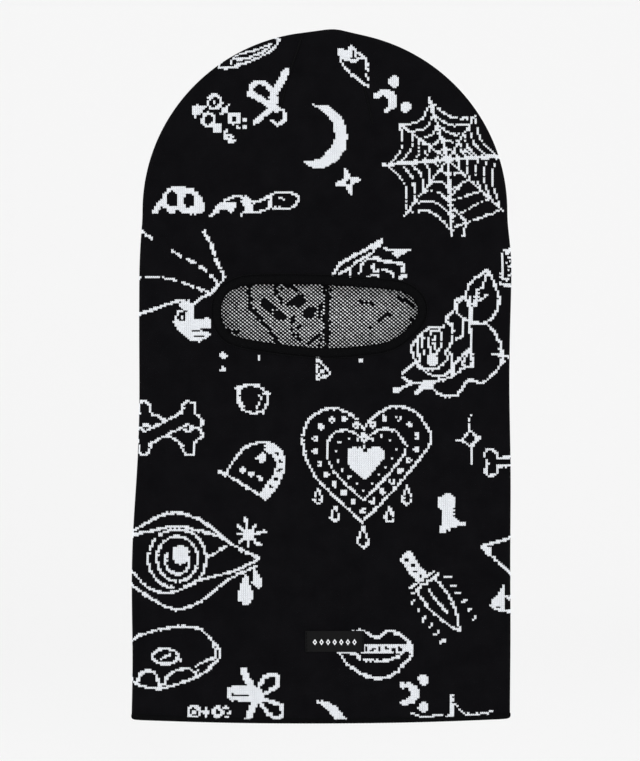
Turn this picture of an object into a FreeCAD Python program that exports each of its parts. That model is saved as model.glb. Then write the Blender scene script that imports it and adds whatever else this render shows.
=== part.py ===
"""A knitted balaclava with one eye slot: a long flat hood, softly filled, open at the neck.

Frame: +Z up towards the crown, +X to the right as seen from the front, and the front faces -Y.
The origin is inside the crown, where the top of the head touches the knit.
"""

import FreeCAD, Part
import os
import Sketcher

doc = FreeCAD.newDocument("balaclava")

# ---------------------------------------------------------------- driving dimensions, in millimetres

DIMENSIONS = [
    ("knit_thickness", 2.2, "double-faced jacquard knit, one layer"),
    ("hood_depth", 16.0, "front face to back face of the softly filled hood"),
    ("crown_radius", 110.5, "outline of the crown, seen from the front"),
    ("hem_half_width", 116.0, "half of the width across the neck opening"),
    ("hem_corner_drop", 419.4, "crown top to the hem's two corners"),
    ("hem_bow", 3.3, "how far the hem's middle hangs below its corners"),
    ("hem_edge_height", 3.0, "bound-off edge round the neck opening"),
    ("hollow_overrun", 20.0, "how far the hollow runs out past the hem"),
    ("slot_radius", 19.2, "round ends of the eye slot"),
    ("slot_straight", 79.4, "between the centres of the slot's round ends"),
    ("slot_shift", -1.0, "slot centre, to the side of the hood's middle"),
    ("slot_drop", 175.4, "crown top to the slot's centre"),
    ("binding_width", 6.6, "rolled rib binding, seen from the front"),
    ("binding_depth", 5.0, "rolled rib binding, front to back"),
    ("binding_proud", 1.3, "how far the binding stands in front of the knit"),
    ("slot_stitch_gap", 0.1, "binding to the row of stitches that joins it to the knit"),
    ("slot_stitch_width", 0.9, "row of stitches round the binding"),
    ("thread_proud", 0.5, "how far a thread row stands off the knit"),
    ("seam_width", 6.0, "linked seam, seen from inside"),
    ("seam_depth", 1.5, "linked seam, how far it stands into the hood"),
    ("seam_crown_gap", 14.0, "crown top to the upper end of the centre back seam"),
    ("dart_width", 3.0, "dart seam, seen from inside"),
    ("dart_depth", 1.2, "dart seam, how far it stands into the hood"),
    ("dart_length", 44.0, "along a dart seam"),
    ("dart_lean", 17.0, "dart seam from the vertical, in degrees"),
    ("dart_top_x", 15.0, "dart seam's upper end from the middle"),
    ("dart_top_drop", 14.0, "crown top to the dart seam's upper end"),
    ("tack_width", 12.0, "thread tack that gathers the seams at the crown"),
    ("tack_height", 3.0, "crown tack, downwards"),
    ("tack_drop", 0.4, "origin to the crown tack's top"),
    ("label_width", 35.7, "woven label on the front"),
    ("label_height", 12.8, "woven label on the front"),
    ("label_thickness", 0.7, "woven label, folded satin tape"),
    ("label_shift", 8.3, "label centre, to the side of the hood's middle"),
    ("label_drop", 372.6, "crown top to the label's centre"),
    ("label_stitch_width", 0.8, "row of stitches at each end of the label"),
    ("label_stitch_inset", 1.2, "label end to the middle of its stitch row"),
]

sizes = doc.addObject("Spreadsheet::Sheet", "sizes")
for row, (alias, value, note) in enumerate(DIMENSIONS, start=1):
    sizes.set(f"A{row}", alias)
    sizes.set(f"B{row}", str(value))
    sizes.set(f"C{row}", note)
    sizes.setAlias(f"B{row}", alias)
doc.recompute()

REACH = 500.0  # a trimming block runs this far, past the hood on every side
QUARTER_TURN = 1.5707963
FRONT, BACK = -1, 1  # which way a face looks along Y
LEFT, RIGHT = -1, 1  # which way a side lies along X
FOLD_ROUNDING = 0.97  # share of the hood's half depth that its folds' rounding takes
LIP_ROUNDING = 0.9  # share of the binding's proud height that its lips' rounding takes
UP = FreeCAD.Vector(0, 0, 1)  # a sketch's own normal
HEM_ARC = "((sizes.hem_half_width ^ 2 + sizes.hem_bow ^ 2) / (2 * sizes.hem_bow))"


def size(alias):
    """A driving dimension's value."""
    return float(getattr(sizes, alias))


# ---------------------------------------------------------------- helpers


def new_body(name):
    body = doc.addObject("PartDesign::Body", name)
    body.Label = name
    return body


def origin_plane(body, role):
    return next(f for f in body.Origin.OriginFeatures if f.Role == role)


def new_sketch(body, name):
    """A sketch on the body's own upright plane, where X is across and Y of the sketch is up."""
    sketch = body.newObject("Sketcher::SketchObject", name)
    sketch.AttachmentSupport = [(origin_plane(body, "XZ_Plane"), "")]
    sketch.MapMode = "FlatFace"
    return sketch


def bound(sketch, name, constraint, expression):
    """Adds a dimension to a sketch and binds it to the sheet."""
    index = sketch.addConstraint(constraint)
    sketch.renameConstraint(index, name)
    sketch.setExpression(f"Constraints.{name}", expression)


def point(x, z):
    return FreeCAD.Vector(x, z, 0)


def padded(body, sketch, length):
    """Pads a sketch to both sides of its plane."""
    pad = body.newObject("PartDesign::Pad", sketch.Name + "_pad")
    pad.Profile = sketch
    pad.SideType = "Symmetric"
    pad.setExpression("Length", length)
    body.Tip = pad
    doc.recompute()
    return pad


def rounded(body, feature, radius, wanted):
    """Rounds the edges of a feature that wanted() picks."""
    names = [f"Edge{i}" for i, edge in enumerate(feature.Shape.Edges, start=1) if wanted(edge)]
    fillet = body.newObject("PartDesign::Fillet", feature.Name + "_round")
    fillet.Base = (feature, names)
    fillet.setExpression("Radius", radius)
    body.Tip = fillet
    doc.recompute()
    return fillet


def boolean(kind, name, base, tool):
    result = doc.addObject(kind, name)
    result.Base = base
    result.Tool = tool
    doc.recompute()
    return result


def half_space(name, low, high):
    """A block between two corners, for trimming."""
    block = doc.addObject("Part::Box", name)
    block.Length, block.Width, block.Height = (b - a for a, b in zip(low, high))
    block.Placement.Base = FreeCAD.Vector(*low)
    doc.recompute()
    return block


def strip(name, width, height, depth, place):
    """A flat strip of thread or tape whose middle is at the given place."""
    box = doc.addObject("Part::Box", name)
    box.setExpression("Length", width)
    box.setExpression("Height", height)
    box.setExpression("Width", depth)
    for axis, expression in zip("xyz", place):
        box.setExpression(f"Placement.Base.{axis}", expression)
    doc.recompute()
    return box


# ---------------------------------------------------------------- the hood's outer form and its hollow


def hood_outline(sketch, inset, below):
    """The hood from the front: a round crown, sides that widen a little, and a bowed hem.

    inset is how far the outline lies inside the hood's, and below how far its hem hangs lower. Every hem
    is an arc of the same radius about the hood's middle, so that a band between two of them is even.
    """
    radius = size("crown_radius")
    hem_x = size("hem_half_width")
    bow = size("hem_bow")
    centre_z = size("knit_thickness") - radius
    hem_z = size("knit_thickness") - size("hem_corner_drop")
    crown = sketch.addGeometry(
        Part.ArcOfCircle(Part.Circle(point(0, centre_z), UP, radius), 0, 2 * QUARTER_TURN)
    )
    right = sketch.addGeometry(Part.LineSegment(point(radius, centre_z), point(hem_x, hem_z)))
    left = sketch.addGeometry(Part.LineSegment(point(-hem_x, hem_z), point(-radius, centre_z)))
    hem = sketch.addGeometry(Part.Arc(point(-hem_x, hem_z), point(0, hem_z - bow), point(hem_x, hem_z)))
    sketch.addConstraint(Sketcher.Constraint("Tangent", crown, 1, right, 1))
    sketch.addConstraint(Sketcher.Constraint("Tangent", crown, 2, left, 2))
    sketch.addConstraint(Sketcher.Constraint("Coincident", right, 2, hem, 2))
    sketch.addConstraint(Sketcher.Constraint("Coincident", left, 1, hem, 1))
    sketch.addConstraint(Sketcher.Constraint("PointOnObject", crown, 3, -2))
    sketch.addConstraint(Sketcher.Constraint("Symmetric", right, 2, left, 1, -2))
    corner_x = f"(sizes.hem_half_width - ({inset}))"
    corner_rise = f"({HEM_ARC} - sqrt({HEM_ARC} ^ 2 - {corner_x} ^ 2))"
    bound(
        sketch, "crown_radius", Sketcher.Constraint("Radius", crown, radius),
        f"sizes.crown_radius - ({inset})",
    )
    bound(
        sketch, "crown_centre", Sketcher.Constraint("DistanceY", crown, 3, -1, 1, -centre_z),
        "sizes.crown_radius - sizes.knit_thickness",
    )
    bound(
        sketch, "hem_width", Sketcher.Constraint("DistanceX", left, 1, right, 2, 2 * hem_x),
        f"2 * {corner_x}",
    )
    bound(
        sketch, "hem_corner", Sketcher.Constraint("DistanceY", right, 2, -1, 1, -hem_z),
        f"sizes.hem_corner_drop + sizes.hem_bow - {corner_rise} - sizes.knit_thickness + ({below})",
    )
    bound(
        sketch, "hem_arc", Sketcher.Constraint("Radius", hem, (hem_x**2 + bow**2) / (2 * bow)),
        HEM_ARC,
    )


def hood_form(name, inset, below, depth):
    """A solid hood of the outline, with its two faces rounded into the folds at the sides and crown."""
    body = new_body(name)
    sketch = new_sketch(body, name + "_outline")
    hood_outline(sketch, inset, below)
    doc.recompute()
    pad = padded(body, sketch, depth)
    hem_top = min(v.Z for v in pad.Shape.Vertexes) + 1.0

    def on_a_face_above_the_hem(edge):
        first, last = edge.Vertexes[0], edge.Vertexes[-1]
        return abs(first.Y - last.Y) < 1e-6 and edge.CenterOfMass.z > hem_top

    rounded(body, pad, f"({depth}) / 2 * {FOLD_ROUNDING}", on_a_face_above_the_hem)
    return body


outer_form = hood_form("outer_form", "0", "0", "sizes.hood_depth")
hollow_form = hood_form(
    "hollow_form", "sizes.knit_thickness", "sizes.hollow_overrun",
    "sizes.hood_depth - 2 * sizes.knit_thickness",
)
knit_shell = boolean("Part::Cut", "knit_shell", outer_form, hollow_form)

# The bound-off edge is the shell's lowest band: all that this wider form, moved up by its height, leaves.
above_edge = new_body("above_edge")
above_sketch = new_sketch(above_edge, "above_edge_outline")
hood_outline(above_sketch, "-sizes.hood_depth", "-sizes.hem_edge_height")
doc.recompute()
padded(above_edge, above_sketch, "2 * sizes.hood_depth")

panels = boolean("Part::Common", "panels", knit_shell, above_edge)
hem_edge = boolean("Part::Cut", "hem_edge", knit_shell, above_edge)

# ---------------------------------------------------------------- the eye slot


def stadium(sketch, radius, start):
    """A slot outline with two straight sides and two round ends. start is about what radius comes to."""
    half = size("slot_straight") / 2
    shift = size("slot_shift")
    mid_z = size("knit_thickness") - size("slot_drop")
    right_end = Part.Circle(point(shift + half, mid_z), UP, start)
    left_end = Part.Circle(point(shift - half, mid_z), UP, start)
    right = sketch.addGeometry(Part.ArcOfCircle(right_end, -QUARTER_TURN, QUARTER_TURN))
    left = sketch.addGeometry(Part.ArcOfCircle(left_end, QUARTER_TURN, 3 * QUARTER_TURN))
    top = sketch.addGeometry(
        Part.LineSegment(point(shift + half, mid_z + start), point(shift - half, mid_z + start))
    )
    bottom = sketch.addGeometry(
        Part.LineSegment(point(shift - half, mid_z - start), point(shift + half, mid_z - start))
    )
    sketch.addConstraint(Sketcher.Constraint("Tangent", right, 2, top, 1))
    sketch.addConstraint(Sketcher.Constraint("Tangent", top, 2, left, 1))
    sketch.addConstraint(Sketcher.Constraint("Tangent", left, 2, bottom, 1))
    sketch.addConstraint(Sketcher.Constraint("Tangent", bottom, 2, right, 1))
    sketch.addConstraint(Sketcher.Constraint("Horizontal", top))
    sketch.addConstraint(Sketcher.Constraint("Horizontal", bottom))
    number = str(right)
    bound(sketch, "end_radius" + number, Sketcher.Constraint("Radius", right, start), radius)
    bound(
        sketch, "straight" + number, Sketcher.Constraint("DistanceX", left, 3, right, 3, 2 * half),
        "sizes.slot_straight",
    )
    bound(
        sketch, "drop" + number, Sketcher.Constraint("DistanceY", right, 3, -1, 1, -mid_z),
        "sizes.slot_drop - sizes.knit_thickness",
    )
    bound(
        sketch, "side" + number, Sketcher.Constraint("DistanceX", left, 3, -1, 1, half - shift),
        "sizes.slot_straight / 2 - sizes.slot_shift",
    )


def slot_form(name, outlines, depth, front_y):
    """A pad of the slot's outline, or a ring between two of them, whose front face is at front_y."""
    body = new_body(name)
    sketch = new_sketch(body, name + "_outline")
    for radius, start in outlines:
        stadium(sketch, radius, start)
    doc.recompute()
    pad = padded(body, sketch, depth)
    body.setExpression("Placement.Base.y", f"{front_y} + ({depth}) / 2")
    doc.recompute()
    return body, pad


OPENING_EDGE = ("sizes.slot_radius", size("slot_radius"))
BINDING_EDGE = ("sizes.slot_radius + sizes.binding_width", size("slot_radius") + size("binding_width"))
stitch_inner = f"{BINDING_EDGE[0]} + sizes.slot_stitch_gap"
stitch_inner_start = BINDING_EDGE[1] + size("slot_stitch_gap")
STITCH_EDGES = [
    (stitch_inner, stitch_inner_start),
    (f"{stitch_inner} + sizes.slot_stitch_width", stitch_inner_start + size("slot_stitch_width")),
]

slot_hole, _ = slot_form("slot_hole", [BINDING_EDGE], "sizes.hood_depth", "-sizes.hood_depth")

slot_binding, binding_pad = slot_form(
    "slot_binding",
    [BINDING_EDGE, OPENING_EDGE],
    "sizes.binding_depth",
    "-sizes.hood_depth / 2 - sizes.binding_proud",
)
binding_face = size("binding_depth") / 2
rounded(
    slot_binding, binding_pad, f"sizes.binding_proud * {LIP_ROUNDING}",
    lambda edge: abs(abs(edge.CenterOfMass.y) - binding_face) < 1e-6,
)

slot_stitching, _ = slot_form(
    "slot_stitching", STITCH_EDGES, "sizes.thread_proud", "-sizes.hood_depth / 2 - sizes.thread_proud"
)

# ---------------------------------------------------------------- the knitted panels

front_block = half_space("front_block", (-REACH, -REACH, -REACH), (REACH, 0, REACH))
back_left_block = half_space("back_left_block", (-REACH, 0, -REACH), (0, REACH, REACH))
back_right_block = half_space("back_right_block", (0, 0, -REACH), (REACH, REACH, REACH))

front_layer = boolean("Part::Common", "front_layer", panels, front_block)
front_panel = boolean("Part::Cut", "front_panel", front_layer, slot_hole)
back_panel_left = boolean("Part::Common", "back_panel_left", panels, back_left_block)
back_panel_right = boolean("Part::Common", "back_panel_right", panels, back_right_block)

# ---------------------------------------------------------------- seams inside the hood

inner_back_y = "(sizes.hood_depth / 2 - sizes.knit_thickness)"

centre_back_seam = strip(
    "centre_back_seam",
    "sizes.seam_width",
    "sizes.hem_corner_drop - sizes.seam_crown_gap - sizes.hem_edge_height",
    "sizes.seam_depth",
    (
        "-sizes.seam_width / 2",
        f"{inner_back_y} - sizes.seam_depth",
        "sizes.knit_thickness - sizes.hem_corner_drop + sizes.hem_edge_height",
    ),
)


def dart_seam(name, facing, side):
    """One of the four dart seams that draw the crown round, on the inside of the front or back."""
    dart = strip(
        name, "sizes.dart_width", "sizes.dart_length", "sizes.dart_depth",
        (
            f"{side} * sizes.dart_top_x + {side} * sin(sizes.dart_lean) * sizes.dart_length"
            f" - cos(sizes.dart_lean) * sizes.dart_width / 2",
            f"{facing} * ({inner_back_y} - sizes.dart_depth / 2) - sizes.dart_depth / 2",
            f"sizes.knit_thickness - sizes.dart_top_drop - cos(sizes.dart_lean) * sizes.dart_length",
        ),
    )
    dart.Placement.Rotation = FreeCAD.Rotation(FreeCAD.Vector(0, 1, 0), -side * size("dart_lean"))
    return dart


darts = [
    dart_seam("front_dart_seam_left", FRONT, LEFT),
    dart_seam("front_dart_seam_right", FRONT, RIGHT),
    dart_seam("back_dart_seam_left", BACK, LEFT),
    dart_seam("back_dart_seam_right", BACK, RIGHT),
]

crown_tack = strip(
    "crown_tack", "sizes.tack_width", "sizes.tack_height", "sizes.seam_width / 2",
    ("-sizes.tack_width / 2", "-sizes.seam_width / 4", "-sizes.tack_height - sizes.tack_drop"),
)

# ---------------------------------------------------------------- the woven label and its stitches

label_low_z = "sizes.knit_thickness - sizes.label_drop - sizes.label_height / 2"

front_label = strip(
    "front_label", "sizes.label_width", "sizes.label_height", "sizes.label_thickness",
    (
        "sizes.label_shift - sizes.label_width / 2",
        "-sizes.hood_depth / 2 - sizes.label_thickness",
        label_low_z,
    ),
)


def label_stitch_row(name, side):
    return strip(
        name, "sizes.label_stitch_width", "sizes.label_height - 1", "sizes.thread_proud",
        (
            f"sizes.label_shift + {side} * (sizes.label_width / 2 - sizes.label_stitch_inset)"
            f" - sizes.label_stitch_width / 2",
            "-sizes.hood_depth / 2 - sizes.label_thickness - sizes.thread_proud",
            f"{label_low_z} + 0.5",
        ),
    )


label_stitches = doc.addObject("Part::Compound", "label_stitches")
label_stitches.Links = [
    label_stitch_row("label_stitch_row_left", LEFT),
    label_stitch_row("label_stitch_row_right", RIGHT),
]
doc.recompute()

# ---------------------------------------------------------------- checks and files

NODES = [
    front_panel,
    back_panel_left,
    back_panel_right,
    hem_edge,
    slot_binding,
    slot_stitching,
    centre_back_seam,
    *darts,
    crown_tack,
    front_label,
    label_stitches,
]

doc.recompute()
for item in doc.Objects:
    if "Invalid" in item.State or "Error" in item.State:
        raise RuntimeError(f"{item.Name} failed: {item.State}")

os.makedirs("parts", exist_ok=True)
for node in NODES:
    if node.Shape.isNull() or not node.Shape.isValid():
        raise RuntimeError(f"{node.Label} has no valid shape")
    node.Shape.exportStep(f"parts/{node.Label}.step")
    print(f"{node.Label}: {node.Shape.Volume / 1000:.2f} cm3, {len(node.Shape.Solids)} solid(s)")
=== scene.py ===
"""A knitted balaclava: a black jacquard hood with drawings in white yarn, and an eye slot with a rolled rib
binding, darts at the crown, a centre back seam, a bound-off neck edge and a small woven label.

Lengths are in millimetres until a mesh is made. +X is to the right, +Z up, and the front faces -Y.
"""

import math

import bpy
import numpy as np
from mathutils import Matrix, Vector


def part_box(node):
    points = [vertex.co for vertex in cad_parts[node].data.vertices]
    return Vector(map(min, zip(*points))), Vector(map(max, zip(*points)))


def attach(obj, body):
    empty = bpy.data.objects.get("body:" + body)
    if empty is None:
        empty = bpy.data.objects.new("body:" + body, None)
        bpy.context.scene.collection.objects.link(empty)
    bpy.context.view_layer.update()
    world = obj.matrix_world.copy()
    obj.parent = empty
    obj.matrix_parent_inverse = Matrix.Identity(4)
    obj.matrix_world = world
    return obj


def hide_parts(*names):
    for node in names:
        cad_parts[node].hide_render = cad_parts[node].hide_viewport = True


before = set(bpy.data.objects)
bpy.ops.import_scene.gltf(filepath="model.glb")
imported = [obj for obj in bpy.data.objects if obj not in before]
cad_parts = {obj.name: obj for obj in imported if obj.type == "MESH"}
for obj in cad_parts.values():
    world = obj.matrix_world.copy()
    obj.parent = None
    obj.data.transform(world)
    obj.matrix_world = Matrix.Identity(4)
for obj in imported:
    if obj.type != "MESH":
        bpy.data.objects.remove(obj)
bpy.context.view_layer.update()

MM = 0.001  # metres in a millimetre
TAU = 2 * math.pi

# ---------------------------------------------------------------- sizes

KNIT = 2.1  # thickness of one layer of the fabric
WALE_WISH = 1.333  # one stitch across, before it is made to fit the width exactly
COURSE = 1.09  # one stitch up
UNEVEN = 0.20  # how far a drawing's edge strays from stitch to stitch
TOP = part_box("front_panel")[1].z / MM  # crown top
HEM_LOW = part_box("hem_edge")[0].z / MM  # lowest point of the neck edge
HALF_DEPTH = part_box("back_panel_left")[1].y / MM  # middle plane to the back face
CROWN_R = 109.6  # least radius of the crown's outline
CROWN_Z = TOP - 111.0  # height of its centre
LEAN = 2.4  # how far the crown lies to the right of the hem
HEM_BOW = 2.3  # how far the hem's middle hangs below its corners
FOLD = 5.5  # distance over which a face turns into the side fold
FOLD_HALF = 4.9  # half depth of the hood just inside the fold


def smoothstep(low, high, value):
    t = np.clip((value - low) / (high - low), 0, 1)
    return t * t * (3 - 2 * t)


# ---------------------------------------------------------------- the hood's surface


def crown_radius(theta):
    """The crown's outline about its centre: a touch wider at the sides, with a small peak at the top."""
    peak = 1.4 * np.exp(-(((theta - math.radians(87)) / math.radians(5)) ** 2))
    return CROWN_R + 1.7 * np.cos(theta) ** 2 + peak


def half_width(z):
    """Half of the hood's width below the crown's centre."""
    d = np.maximum(CROWN_Z - z, 0)
    wave = 0.35 * np.sin(d / 27 + 0.6) * smoothstep(0, 40, d)
    return CROWN_R + 1.7 + 1.9 * (1 - np.exp(-((d / 20) ** 2))) + 2.4 * smoothstep(100, 260, d) + wave


def middle_x(z):
    """The hood's middle line leans to the right from the hem up."""
    d = np.maximum(CROWN_Z - z, 0)
    wave = 0.30 * np.sin(d / 19) * smoothstep(0, 30, d)
    return LEAN * (1 - smoothstep(80, 260, d)) + wave


def hem_rise(x):
    """How far the hem at x lies above its lowest point."""
    return HEM_BOW * ((x + 8) / 118) ** 2


def inside(x, z):
    """Distance from the outline, inwards, and the unit direction from the outline to the point."""
    above = z > CROWN_Z
    dx, dz = x - LEAN, z - CROWN_Z
    r = np.maximum(np.hypot(dx, dz), 1e-6)
    theta = np.arctan2(np.maximum(dz, 0), dx)
    crown = crown_radius(theta) - r
    off = x - middle_x(z)
    side = half_width(z) - np.abs(off)
    distance = np.where(above, crown, side)
    ux = np.where(above, -dx / r, -np.sign(off))
    uz = np.where(above, -dz / r, 0)
    return distance, ux, uz


def profile(distance):
    """Half depth of the hood at a distance from its outline: a round fold, then a soft rise to the middle."""
    t = 1 - np.clip(distance, 0, FOLD) / FOLD
    fold = FOLD_HALF * np.sqrt(np.maximum(1 - t * t, 0))
    return fold + (HALF_DEPTH - 0.5 - FOLD_HALF) * (1 - np.exp(-((np.maximum(distance, 0) / 42) ** 2)))


def ripple(x, z):
    """Slight unevenness of a soft knit."""
    a = np.sin(x / 17.0 + 0.9 * np.sin(z / 41.0)) * np.cos(z / 29.0 + 0.5)
    b = np.sin(x / 39.0 - z / 23.0 + 1.7)
    c = np.sin(x / 8.5 + z / 13.0) * np.sin(z / 47.0)
    return 0.14 * a + 0.16 * b + 0.05 * c


def half_depth(x, z, face):
    distance = inside(x, z)[0]
    flatter = 1 - 0.10 * smoothstep(HEM_LOW + 70, HEM_LOW, z)
    fade = smoothstep(2, 16, distance)
    return profile(distance) * flatter + fade * ripple(x + 60 * face, z)


# Along-the-fabric distance from the fold, against distance from the outline seen from the front.
_d = np.linspace(0, 60, 1201)
_along = np.concatenate([[0], np.cumsum(np.hypot(np.diff(_d), np.diff(profile(_d))))])
EXTRA = float(_along[-1] - _d[-1])  # fabric that the fold takes up on each face


FULL = float(half_width(HEM_LOW) + EXTRA)  # from the middle to the fold along the fabric, at the hem
HALF_COUNT = int(round(FULL / WALE_WISH))
WALE = FULL / HALF_COUNT


def to_fold(along):
    """Distance from the outline for a distance along the fabric from the fold."""
    return np.where(along > _along[-1], along - EXTRA, np.interp(along, _along, _d))


def surface(x, z, face, lift=0.0):
    """Points on the outside of the front (face -1) or the back (face 1), lifted off it along its normal."""
    step = 0.2
    y = half_depth(x, z, face)
    slope_x = (half_depth(x + step, z, face) - half_depth(x - step, z, face)) / (2 * step)
    slope_z = (half_depth(x, z + step, face) - half_depth(x, z - step, face)) / (2 * step)
    slope_x, slope_z = np.clip(slope_x, -6, 6), np.clip(slope_z, -6, 6)
    length = np.sqrt(1 + slope_x**2 + slope_z**2)
    normal = np.stack([-slope_x / length, face / length, -slope_z / length], axis=-1)
    return np.stack([x, face * y, z], axis=-1) + normal * np.asarray(lift)[..., None]


# ---------------------------------------------------------------- flat curves


def spline(points, closed=False, steps=8):
    """A smooth line through a few points (Catmull-Rom)."""
    p = np.array(points, float)
    if closed:
        p = np.concatenate([p[-1:], p, p[:2]])
    else:
        p = np.concatenate([2 * p[:1] - p[1:2], p, 2 * p[-1:] - p[-2:-1]])
    t = np.linspace(0, 1, steps, endpoint=False)[:, None]
    out = []
    for a, b, c, d in zip(p[:-3], p[1:-2], p[2:-1], p[3:]):
        square, cube = 2 * a - 5 * b + 4 * c - d, 3 * b - a - 3 * c + d
        out.append(0.5 * (2 * b + (c - a) * t + square * t**2 + cube * t**3))
    if not closed:
        out.append(p[-2:-1])
    return np.concatenate(out)


def arc(x, z, rx, rz, start=0, end=360, steps=28):
    """Part of an ellipse, angles in degrees from the right, turning to the left."""
    t = np.radians(np.linspace(start, end, steps))
    return np.stack([x + rx * np.cos(t), z + rz * np.sin(t)], axis=1)


def resampled(line, count, closed=True):
    """The line again, with evenly spaced points."""
    p = np.concatenate([line, line[:1]]) if closed else np.array(line)
    along = np.concatenate([[0], np.cumsum(np.linalg.norm(np.diff(p, axis=0), axis=1))])
    at = np.linspace(0, along[-1], count, endpoint=not closed)
    return np.stack([np.interp(at, along, p[:, k]) for k in range(p.shape[1])], axis=1)


def outward(line):
    """Unit normals of a closed flat line that runs to the left, pointing out."""
    tangent = np.roll(line, -1, axis=0) - np.roll(line, 1, axis=0)
    tangent /= np.linalg.norm(tangent, axis=1)[:, None]
    return np.stack([tangent[:, 1], -tangent[:, 0]], axis=1)


def in_polygon(p, poly):
    x, z = p[:, 0], p[:, 1]
    hit = np.zeros(len(p), bool)
    for (x0, z0), (x1, z1) in zip(poly, np.roll(poly, -1, axis=0)):
        if z0 == z1:
            continue
        crosses = (z0 > z) != (z1 > z)
        hit ^= crosses & (x < (x1 - x0) * (z - z0) / (z1 - z0) + x0)
    return hit


def near_line(p, line, width):
    hit = np.zeros(len(p), bool)
    for a, b in zip(line[:-1], line[1:]):
        d = b - a
        t = np.clip(((p - a) @ d) / max(float(d @ d), 1e-9), 0, 1)
        gap = p - a - t[:, None] * d
        hit |= (gap**2).sum(1) < (width / 2) ** 2
    return hit


# ---------------------------------------------------------------- the eye slot's outline

SLOT_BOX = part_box("slot_binding")
SLOT_X = (SLOT_BOX[0].x + SLOT_BOX[1].x) / 2 / MM
SLOT_Z = (SLOT_BOX[0].z + SLOT_BOX[1].z) / 2 / MM
BINDING = 5.9  # width of the rolled binding
SLOT_POINTS = [  # about the slot's centre, running to the left from the right end
    (59.3, 5.2), (55.4, 11.7), (46.0, 15.6), (21.0, 17.7), (-6.0, 19.2), (-40.0, 19.0),
    (-51.5, 16.2), (-57.5, 11.2), (-59.4, 2.8), (-57.4, -5.8), (-49.6, -12.2), (-24.0, -16.8),
    (3.4, -19.2), (26.0, -17.8), (43.7, -14.3), (57.0, -3.0),
]
slot_edge = resampled(spline(SLOT_POINTS, closed=True), 400) + (SLOT_X, SLOT_Z)
slot_out = outward(slot_edge)
binding_line = slot_edge + slot_out * BINDING / 2
binding_outside = slot_edge + slot_out * BINDING

# ---------------------------------------------------------------- the darts at the crown

DART_TOP = (14.0, TOP - 5.5)  # from the leaning middle line
DART_TIP = (29.0, -56.0)


def dart_line(side):
    top = np.array([LEAN + side * DART_TOP[0], DART_TOP[1]])
    tip = np.array([LEAN + side * DART_TIP[0], DART_TIP[1]])
    bend = (top + tip) / 2 + (side * 1.2, 0)
    return spline([top, bend, tip], steps=20)


# ---------------------------------------------------------------- the stitch chart


def seen_from(flat):
    """Where a place on the unrolled fabric is seen from the front, and how far along it the fold is."""
    x, z = flat[..., 0], flat[..., 1]
    distance, ux, uz = inside(x, z)
    along = distance + EXTRA
    move = to_fold(along) - distance
    return flat + np.stack([ux * move, uz * move], axis=-1), along


def on_fabric(flat, face, lift=0.0):
    seen = seen_from(flat)[0]
    return surface(seen[..., 0], seen[..., 1], face, lift)


def stitch_frames(flat, face):
    """Each stitch's place on the fabric and its own axes: along the course, up the wale and outwards."""
    d = 0.3
    along_x = (on_fabric(flat + (d, 0), face) - on_fabric(flat - (d, 0), face)) / (2 * d)
    along_z = (on_fabric(flat + (0, d), face) - on_fabric(flat - (0, d), face)) / (2 * d)
    out = np.cross(along_x, along_z)
    out /= np.maximum(np.linalg.norm(out, axis=1), 1e-6)[:, None]
    out *= np.where((out[:, 1] * face) < -1e-9, -1, 1)[:, None]
    return on_fabric(flat, face), np.stack([along_x, along_z, out], axis=1)


def chart(face):
    """Every stitch of one face, with its place on the unrolled fabric and on the drawing."""
    i = np.arange(-HALF_COUNT, HALF_COUNT) + 0.5
    z = np.arange(HEM_LOW + 1.9, TOP + EXTRA, COURSE)
    grid_i, grid_z = np.meshgrid(i * WALE, z)
    x = middle_x(grid_z) + grid_i * (half_width(grid_z) + EXTRA) / FULL
    flat = np.stack([x.ravel(), grid_z.ravel()], axis=1)
    seen, along = seen_from(flat)
    keep = (along > 0.4) & (seen[:, 1] > HEM_LOW + hem_rise(seen[:, 0]) + 2.2)
    if face < 0:
        keep &= ~in_polygon(seen, binding_outside)
    else:
        keep &= np.abs(seen[:, 0] - middle_x(seen[:, 1])) > 1.8
    r = CROWN_R + 1.7 + EXTRA
    across_crown = np.sqrt(np.maximum(r**2 - (flat[:, 1] - CROWN_Z) ** 2, 0))
    reach = np.where(flat[:, 1] > CROWN_Z, across_crown, half_width(flat[:, 1]) + EXTRA)
    off = flat[:, 0] - middle_x(flat[:, 1])
    turned = np.where(off > 0, 2 * reach - off, -2 * reach - off)
    across = (off if face < 0 else turned) + middle_x(flat[:, 1])
    uneven = np.random.default_rng(20 + face).normal(0, UNEVEN, (len(across), 2))
    return {
        "flat": flat[keep],
        "art": (np.stack([across, flat[:, 1]], axis=1) + uneven)[keep],
        "white": np.zeros(int(keep.sum()), bool),
        "scale": ((half_width(flat[:, 1]) + EXTRA) / FULL)[keep],
    }


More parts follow.
